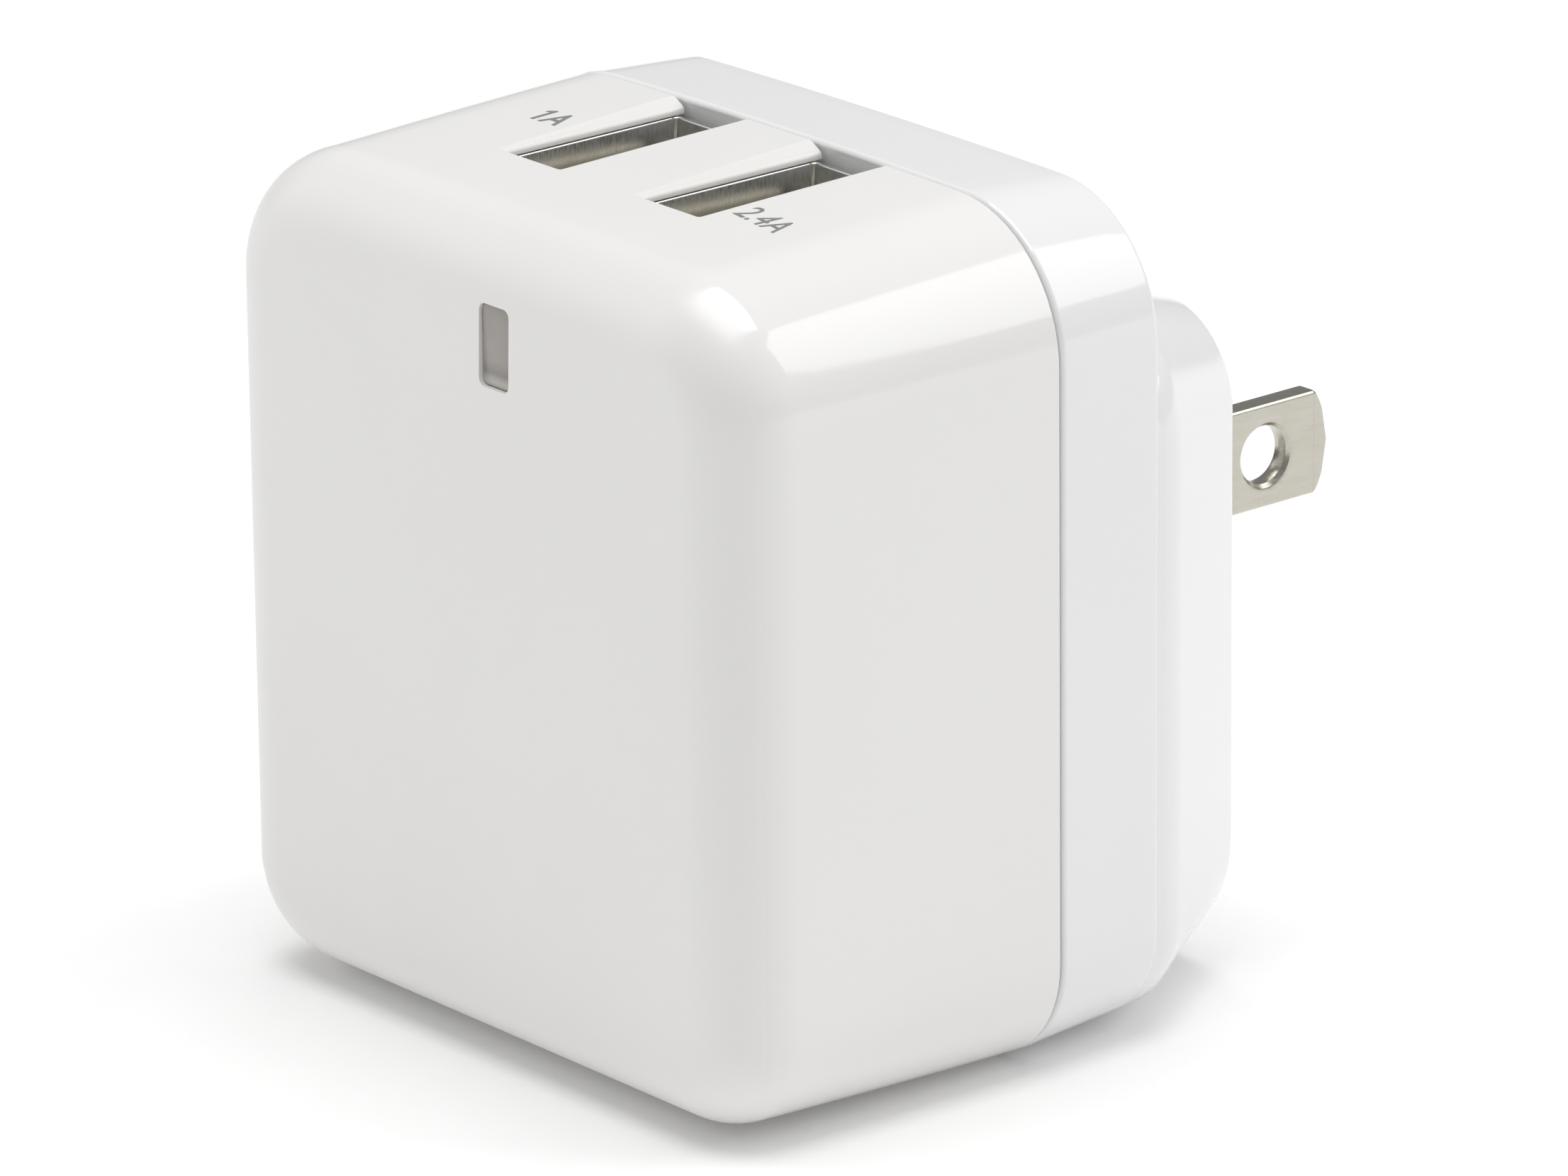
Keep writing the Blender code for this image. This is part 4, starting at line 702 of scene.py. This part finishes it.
def buildRearCover():
    piece = newPiece("rearCover", closeEnds(wrapSkin(rearCoverRings())))
    bladeLow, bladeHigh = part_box("blade_right")
    bladeX, bladeHalf = (bladeLow.x + bladeHigh.x) / 2, (bladeHigh.x - bladeLow.x) / 2
    rootHalf = (bladeHigh.z - bladeLow.z) / 2
    pivot, gap = plug["pivotY"], plug["wellGap"]
    reach = bladeHigh.y - pivot
    wellBottom = -reach - gap - plug["tipRoom"]
    inner = pivot - rootHalf - gap
    half, side = plug["blockHalf"], bladeHalf + gap
    thick = plug["ledgeThick"]
    shelfY = pivot - plug["shaftRadius"] - thick
    openY = inner - plug["wellWall"] - plug["openBeyond"]
    reshape(piece, block((-half, inner - plug["wellWall"], wellBottom - plug["wellWall"]),
                         (half, -casing["wall"] * 0.6, plug["blockTop"])), "UNION")
    boardLow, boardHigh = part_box("main_board")
    for sign in (-1, 1):
        near, far = sign * (boardHigh.x - 1 * mm), sign * (casing["halfWidth"] - 1.6 * mm)
        reshape(piece, block((min(near, far), boardHigh.y + 0.2 * mm, boardLow.z + plug["stopLow"]),
                             (max(near, far), cover["shoulderY"] + 0.8 * mm, plug["stopHigh"])), "UNION")
    for sign in (-1, 1):
        reshape(piece, block((sign * bladeX - side, inner, wellBottom),
                             (sign * bladeX + side, 1 * mm, rootHalf + gap)))
    reshape(piece, block((thick - half, openY, plug["pocketLow"]),
                         (half - thick, shelfY, plug["pocketHigh"])))
    reshape(piece, block((-plug["keeperHalf"], openY, plug["keeperLow"]),
                         (plug["keeperHalf"], shelfY, plug["keeperHigh"])))
    reshape(piece, channel(plug["shaftHalf"] + plug["shaftEndGap"], plug["shaftRadius"] + plug["shaftGap"],
                           openY))
    reshape(piece, channel(plug["drumHalf"] + plug["drumGap"], plug["drumRadius"] + plug["drumGap"], openY))
    low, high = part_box("usb_can_1a")[0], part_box("usb_can_2a4")[1]
    lipIn = casing["wall"] + cover["lipGap"] + cover["lipThickness"] + 1 * mm
    notchEnd = seamY + casing["seamGap"] / 2 - 0.1 * mm
    reshape(piece, block((low.x - 0.8 * mm, seamY - cover["lipLength"] - 1 * mm, casing["top"] - lipIn),
                         (high.x + 0.8 * mm, notchEnd, casing["top"] + 1 * mm)))

    def onBladeSlot(spot, edge):
        return all(abs(v.co.y) < 1e-6 and abs(v.co.x) < 9 * mm for v in edge.verts)

    soften(piece, onBladeSlot, cover["slotEdge"], 3)
    return dress(piece, finish["polishedPolycarbonate"], "casing", ("rear_cover",),
                 sharp=0.7, weighted=True)


buildRearCover()
print("rear cover")


# ---- blades: stamped strip, its long edges rolled, round root and bowed tip
def buildBlade(name, node):
    low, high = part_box(node)
    half, tip = (high.z - low.z) / 2, high.y
    corner, segments = plug["tipCorner"], plug["bladeSteps"]
    bm = bmesh.new()
    bmesh.ops.create_circle(bm, cap_ends=True, segments=segments, radius=1.0)
    for vert in bm.verts:
        c, s = vert.co.x, vert.co.y
        if c <= 1e-6:
            y, z = plug["pivotY"] + half * c, half * s
        else:
            z = half * copysign(abs(s) ** 0.18, s)
            y = tip - plug["tipBulge"] * (z / half) ** 2 - corner * max(0.0, 1 - c ** 0.55)
        vert.co = (low.x, y, z)
    bmesh.ops.recalc_face_normals(bm, faces=bm.faces)
    made = bmesh.ops.extrude_face_region(bm, geom=bm.faces[:])["geom"]
    moved = [item for item in made if isinstance(item, bmesh.types.BMVert)]
    bmesh.ops.translate(bm, verts=moved, vec=(high.x - low.x, 0, 0))
    bmesh.ops.recalc_face_normals(bm, faces=bm.faces)
    outer = [e for e in bm.edges if abs(e.verts[0].co.x - e.verts[1].co.x) < 1e-7]
    bmesh.ops.bevel(bm, geom=outer, offset=plug["edge"], segments=3, profile=0.5, affect="EDGES", material=-1)
    piece = newPiece(name, bm)
    centre = ((low.x + high.x) / 2, plug["holeReach"], 0)
    reshape(piece, rod(centre, plug["holeRadius"], 4 * mm, 64))

    def onHole(spot, edge):
        return all(abs((v.co - Vector((v.co.x, *centre[1:]))).length - plug["holeRadius"]) < 0.02 * mm
                   for v in edge.verts) and abs(edge.verts[0].co.x - edge.verts[1].co.x) < 1e-7

    soften(piece, onHole, plug["holeEdge"], 3)
    radius, flat, steps = plug["keyRadius"], plug["keyFlat"], plug["keySteps"]
    rings = [[Vector((centre[0] + dx, plug["pivotY"] + radius * cos(2 * pi * i / steps),
                      max(-flat, min(flat, radius * sin(2 * pi * i / steps))))) for i in range(steps)]
             for dx in (-2 * mm, 2 * mm)]
    reshape(piece, closeEnds(wrapSkin(rings)))
    return dress(piece, finish["nickelPlate"], "plug", (node,), sharp=0.5, weighted=True)


buildBlade("bladeLeft", "blade_left")
buildBlade("bladeRight", "blade_right")
print("blades")

# ---- sockets: folded cans with sprung windows, and tongues; their contacts keep the CAD shapes
socket = {
    "wall": 0.3 * mm, "outerCorner": 0.55 * mm, "innerCorner": 0.30 * mm, "cornerSteps": 4,
    "windowY": 3.0 * mm, "windowHalf": 0.9 * mm, "windowTop": 3.5 * mm, "windowBottom": 6.5 * mm,
    "springHalf": 0.62 * mm, "springThick": 0.18 * mm,
    "tongueThick": 1.84 * mm, "tongueWide": 11.1 * mm, "tongueGap": 0.72 * mm, "tongueEdge": 0.28 * mm,
    "baseTall": 4.4 * mm,
}


def canRing(centre, halfX, halfY, corner, z):
    ring = []
    for index, (sx, sy) in enumerate(((1, 1), (-1, 1), (-1, -1), (1, -1))):
        for step in range(socket["cornerSteps"] + 1):
            a = (index + step / socket["cornerSteps"]) * pi / 2
            ring.append(Vector((centre.x + sx * (halfX - corner) + corner * cos(a),
                                centre.y + sy * (halfY - corner) + corner * sin(a), z)))
    return ring


def springStrip(bm, wallX, inward, y, top):
    # a strip bent into the can, fixed at its foot
    path = ((0.0, -6.6), (0.05, -6.2), (0.30, -5.2), (0.45, -4.5), (0.40, -4.1), (0.15, -3.7))
    thick = socket["springThick"]
    rings = []
    for lean, drop in path:
        x, z = wallX + inward * lean * mm, top + drop * mm
        rings.append([Vector((x + dx, y + dy, z)) for dx, dy in (
            (-thick / 2, -socket["springHalf"]), (thick / 2, -socket["springHalf"]),
            (thick / 2, socket["springHalf"]), (-thick / 2, socket["springHalf"]))])
    strip = closeEnds(wrapSkin(rings))
    joined = bpy.data.meshes.new("strip")
    strip.to_mesh(joined)
    strip.free()
    bm.from_mesh(joined)
    bpy.data.meshes.remove(joined)


def buildCan(name, node):
    low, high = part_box(node)
    centre = (low + high) / 2
    halfX, halfY, wall = (high.x - low.x) / 2, (high.y - low.y) / 2, socket["wall"]
    outer, inner = socket["outerCorner"], socket["innerCorner"]
    bend = wall / 2
    rings = [canRing(centre, halfX, halfY, outer, low.z),
             canRing(centre, halfX, halfY, outer, high.z - 0.5 * mm)]
    for step in range(7):
        a = step * pi / 6
        rings.append(canRing(centre, halfX - bend * (1 - cos(a)), halfY - bend * (1 - cos(a)),
                             outer + (inner - outer) * step / 6, high.z - bend + bend * sin(a)))
    rings += [canRing(centre, halfX - wall, halfY - wall, inner, low.z),
              canRing(centre, halfX, halfY, outer, low.z)]
    bm = wrapSkin(rings)
    bmesh.ops.recalc_face_normals(bm, faces=bm.faces)
    piece = newPiece(name, bm)
    for sx in (-1, 1):
        for sy in (-1, 1):
            x, y = centre.x + sx * halfX, centre.y + sy * socket["windowY"]
            reshape(piece, block(
                (x - 2 * wall, y - socket["windowHalf"], high.z - socket["windowBottom"]),
                (x + 2 * wall, y + socket["windowHalf"], high.z - socket["windowTop"])))
    bm = bmesh.new()
    bm.from_mesh(piece.data)
    for sx in (-1, 1):
        for sy in (-1, 1):
            springStrip(bm, centre.x + sx * (halfX - wall / 2), -sx, centre.y + sy * socket["windowY"],
                        high.z)
    bm.to_mesh(piece.data)
    bm.free()
    return dress(piece, finish["tinnedSteel"], "casing", (node,), sharp=0.6)


def buildTongue(name, node, can):
    low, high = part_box(node)
    canLow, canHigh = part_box(can)
    wallX = canHigh.x - socket["wall"]
    thick, out = socket["tongueThick"], wallX - socket["tongueGap"]
    halfY, middle = socket["tongueWide"] / 2, (canLow.y + canHigh.y) / 2
    baseTop = low.z + socket["baseTall"]
    piece = newPiece(name, block((out - thick, low.y, low.z), (high.x, high.y, baseTop)))
    reshape(piece, block((out - thick, middle - halfY, baseTop - 1 * mm),
                         (out, middle + halfY, high.z)), "UNION")
    soften(piece, lambda spot, edge: spot.z > baseTop + 0.5 * mm, socket["tongueEdge"], 3)
    return dress(piece, finish["ivoryPolymer"], "casing", (node,), sharp=0.6)


for key in ("1a", "2a4"):
    buildCan("socketCan." + key, "usb_can_" + key)
    buildTongue("socketTongue." + key, "usb_tongue_" + key, "usb_can_" + key)
print("sockets")


def buildLens():
    low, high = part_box("light_pipe")
    front = low.y
    pad = window["width"] / 2 - window["lensGap"]
    shellInside = casing["frontY"] + casing["frontCrown"] + casing["wall"]
    leg = block((low.x, shellInside + 0.4 * mm, low.z), (high.x, high.y, high.z))
    bmesh.ops.bevel(leg, geom=leg.edges[:], offset=0.2 * mm, segments=2, profile=0.5, affect="EDGES",
                    material=-1)
    piece = newPiece("lightPipe", leg)
    stem = roundedBar(window["x"], window["z"], 2 * pad, window["height"] - 2 * window["lensGap"],
                      window["corner"] - window["lensGap"], front, shellInside + 1.0 * mm)
    reshape(piece, stem, "UNION")
    soften(piece, lambda spot, edge: spot.y < front + 0.01 * mm, 0.10 * mm, 3)
    return dress(piece, finish["smokedLens"], "casing", ("light_pipe",), sharp=0.7)


buildLens()
print("light pipe")

# ---- current ratings printed beside the sockets, as generic as numbers on a dial
film = 0.015 * mm
ratings = {
    "ratingOne": {"text": "1A", "centre": (-11.15 * mm, -26.4 * mm), "width": 2.5 * mm, "height": 1.9 * mm,
                  "turn": 0, "bold": 0.012},
    "ratingTwo": {"text": "2.4A", "centre": (11.7 * mm, -29.9 * mm), "width": 4.2 * mm, "height": 1.8 * mm,
                  "turn": -8, "bold": 0.0},
}


def printRating(name, mark):
    curve = bpy.data.curves.new(name, "FONT")
    curve.body = mark["text"]
    curve.size = 1.0
    curve.resolution_u = 6
    curve.offset = mark["bold"]
    letters = bpy.data.objects.new(name, curve)
    bpy.context.collection.objects.link(letters)
    bpy.context.view_layer.update()
    graph = bpy.context.evaluated_depsgraph_get()
    mesh = bpy.data.meshes.new_from_object(letters.evaluated_get(graph))
    bpy.data.objects.remove(letters)
    bm = bmesh.new()
    bm.from_mesh(mesh)
    bmesh.ops.remove_doubles(bm, verts=bm.verts, dist=1e-4)
    if mark["text"].startswith("1"):
        # the flag of the figure one, which the built-in face leaves out
        stem = min(v.co.x for v in bm.verts)
        tall = max(v.co.y for v in bm.verts)
        flag = [bm.verts.new((stem + dx, tall * up, 0)) for dx, up in (
            (0.03, 0.99), (0.03, 0.83), (-0.13, 0.72), (-0.13, 0.84))]
        bm.faces.new(flag)
    bmesh.ops.recalc_face_normals(bm, faces=bm.faces)
    xs, ys = [v.co.x for v in bm.verts], [v.co.y for v in bm.verts]
    across, up = max(xs) - min(xs), max(ys) - min(ys)
    turn = Matrix.Rotation(radians(mark["turn"]), 2)
    made = bmesh.ops.extrude_face_region(bm, geom=bm.faces[:])["geom"]
    lifted = set(item for item in made if isinstance(item, bmesh.types.BMVert))
    for vert in bm.verts:
        flat = turn @ Vector((((vert.co.x - min(xs)) / across - 0.5) * mark["width"],
                              ((vert.co.y - min(ys)) / up - 0.5) * mark["height"]))
        x, y = mark["centre"][0] + flat.x, mark["centre"][1] + flat.y
        vert.co = (x, y, topHeight(x, y) + (film if vert in lifted else -film))
    bmesh.ops.recalc_face_normals(bm, faces=bm.faces)
    piece = newPiece(name, bm)
    return dress(piece, finish["greyInk"], "casing")


for name, mark in ratings.items():
    printRating(name, mark)
print("ratings")

# ---- the parts inside keep their CAD shapes and get their own finishes
inside = {
    "milkNylon": ("blade_carrier", "pivot_keeper"),
    "zincPlate": ("keeper_screw_upper", "keeper_screw_lower"),
    "phosphorBronze": ("contact_spring_left", "contact_spring_right"),
    "goldFlash": tuple("usb_contact_%s_%d" % (key, n) for key in ("1a", "2a4") for n in range(1, 5)),
    "lampEpoxy": ("indicator_led",),
    "solderMask": ("main_board", "usb_board"),
    "sinteredFerrite": ("transformer_core_front", "transformer_core_rear", "choke_core"),
    "polyesterTape": ("transformer_winding",),
    "shrinkSleeve": ("bulk_capacitor_upper", "bulk_capacitor_lower", "output_capacitor_left",
                     "output_capacitor_right"),
    "flameproofCoat": ("fuse_resistor",),
    "enamelledCopper": ("choke_winding",),
    "epoxyDip": ("safety_capacitor",),
    "fishPaper": ("insulation_sheet",),
    "blackPolyester": ("transformer_bobbin", "bridge_rectifier", "switching_controller", "optocoupler",
                       "output_rectifier", "board_header", "port_controller"),
}
for name, members in inside.items():
    for member in members:
        mesh = nodes[member].data
        mesh.materials.clear()
        mesh.materials.append(finish[name])
print("inner parts dressed")

# ---- pale floor, white surround, a softbox behind the right shoulder, one overhead, a weak left fill
low, high = cadBox
studio = {
    "floorSize": 3.0,
    "surround": 0.30,
    "lamps": {       # azimuth from the front towards the right, elevation, distance, size, brightness
        "shoulderSoftbox": {"azimuth": 142, "elevation": 34.5, "distance": 1.0,
                            "size": (0.60, 0.62), "glow": 2.25},
        "overhead": {"azimuth": 0, "elevation": 88, "distance": 1.4,
                     "size": (1.2, 1.2), "glow": 3.55},
        "leftFill": {"azimuth": -55, "elevation": 18, "distance": 1.1,
                     "size": (0.9, 0.9), "glow": 0.7},
    },
}
bpy.context.scene.view_settings.view_transform = "Standard"
world = bpy.data.worlds.new("studioWorld")
bpy.context.scene.world = world
world.use_nodes = True
backdrop = world.node_tree.nodes["Background"]
backdrop.inputs["Color"].default_value = (1, 1, 1, 1)
backdrop.inputs["Strength"].default_value = studio["surround"]
bm = bmesh.new()
bmesh.ops.create_grid(bm, x_segments=8, y_segments=8, size=studio["floorSize"])
bmesh.ops.translate(bm, verts=bm.verts, vec=(0, 0, low[2] - 0.05 * mm))
floor = newPiece("floor", bm)
floor.data.materials.append(surfaceOf("paleFloor", {
    "surface": {"IOR": 1.45, "Emission Color": (1, 1, 1, 1), "Emission Strength": 0.07},
    "hues": ("FCFCFC", "FAFAFA"), "cloud": 0.2, "rough": (0.6, 0.7),
    "grain": 0.004, "depth": 0.00001}))
aim = (Vector(low) + Vector(high)) / 2
for name, lamp in studio["lamps"].items():
    data = bpy.data.lights.new(name, "AREA")
    data.shape = "RECTANGLE"
    data.size, data.size_y = lamp["size"]
    data.energy = lamp["glow"] * pi * data.size * data.size_y
    light = bpy.data.objects.new(name, data)
    turn, rise = radians(lamp["azimuth"]), radians(lamp["elevation"])
    away = Vector((sin(turn) * cos(rise), -cos(turn) * cos(rise), sin(rise)))
    light.location = aim + away * lamp["distance"]
    light.rotation_euler = away.to_track_quat("Z", "Y").to_euler()
    bpy.context.collection.objects.link(light)
print("studio lit")
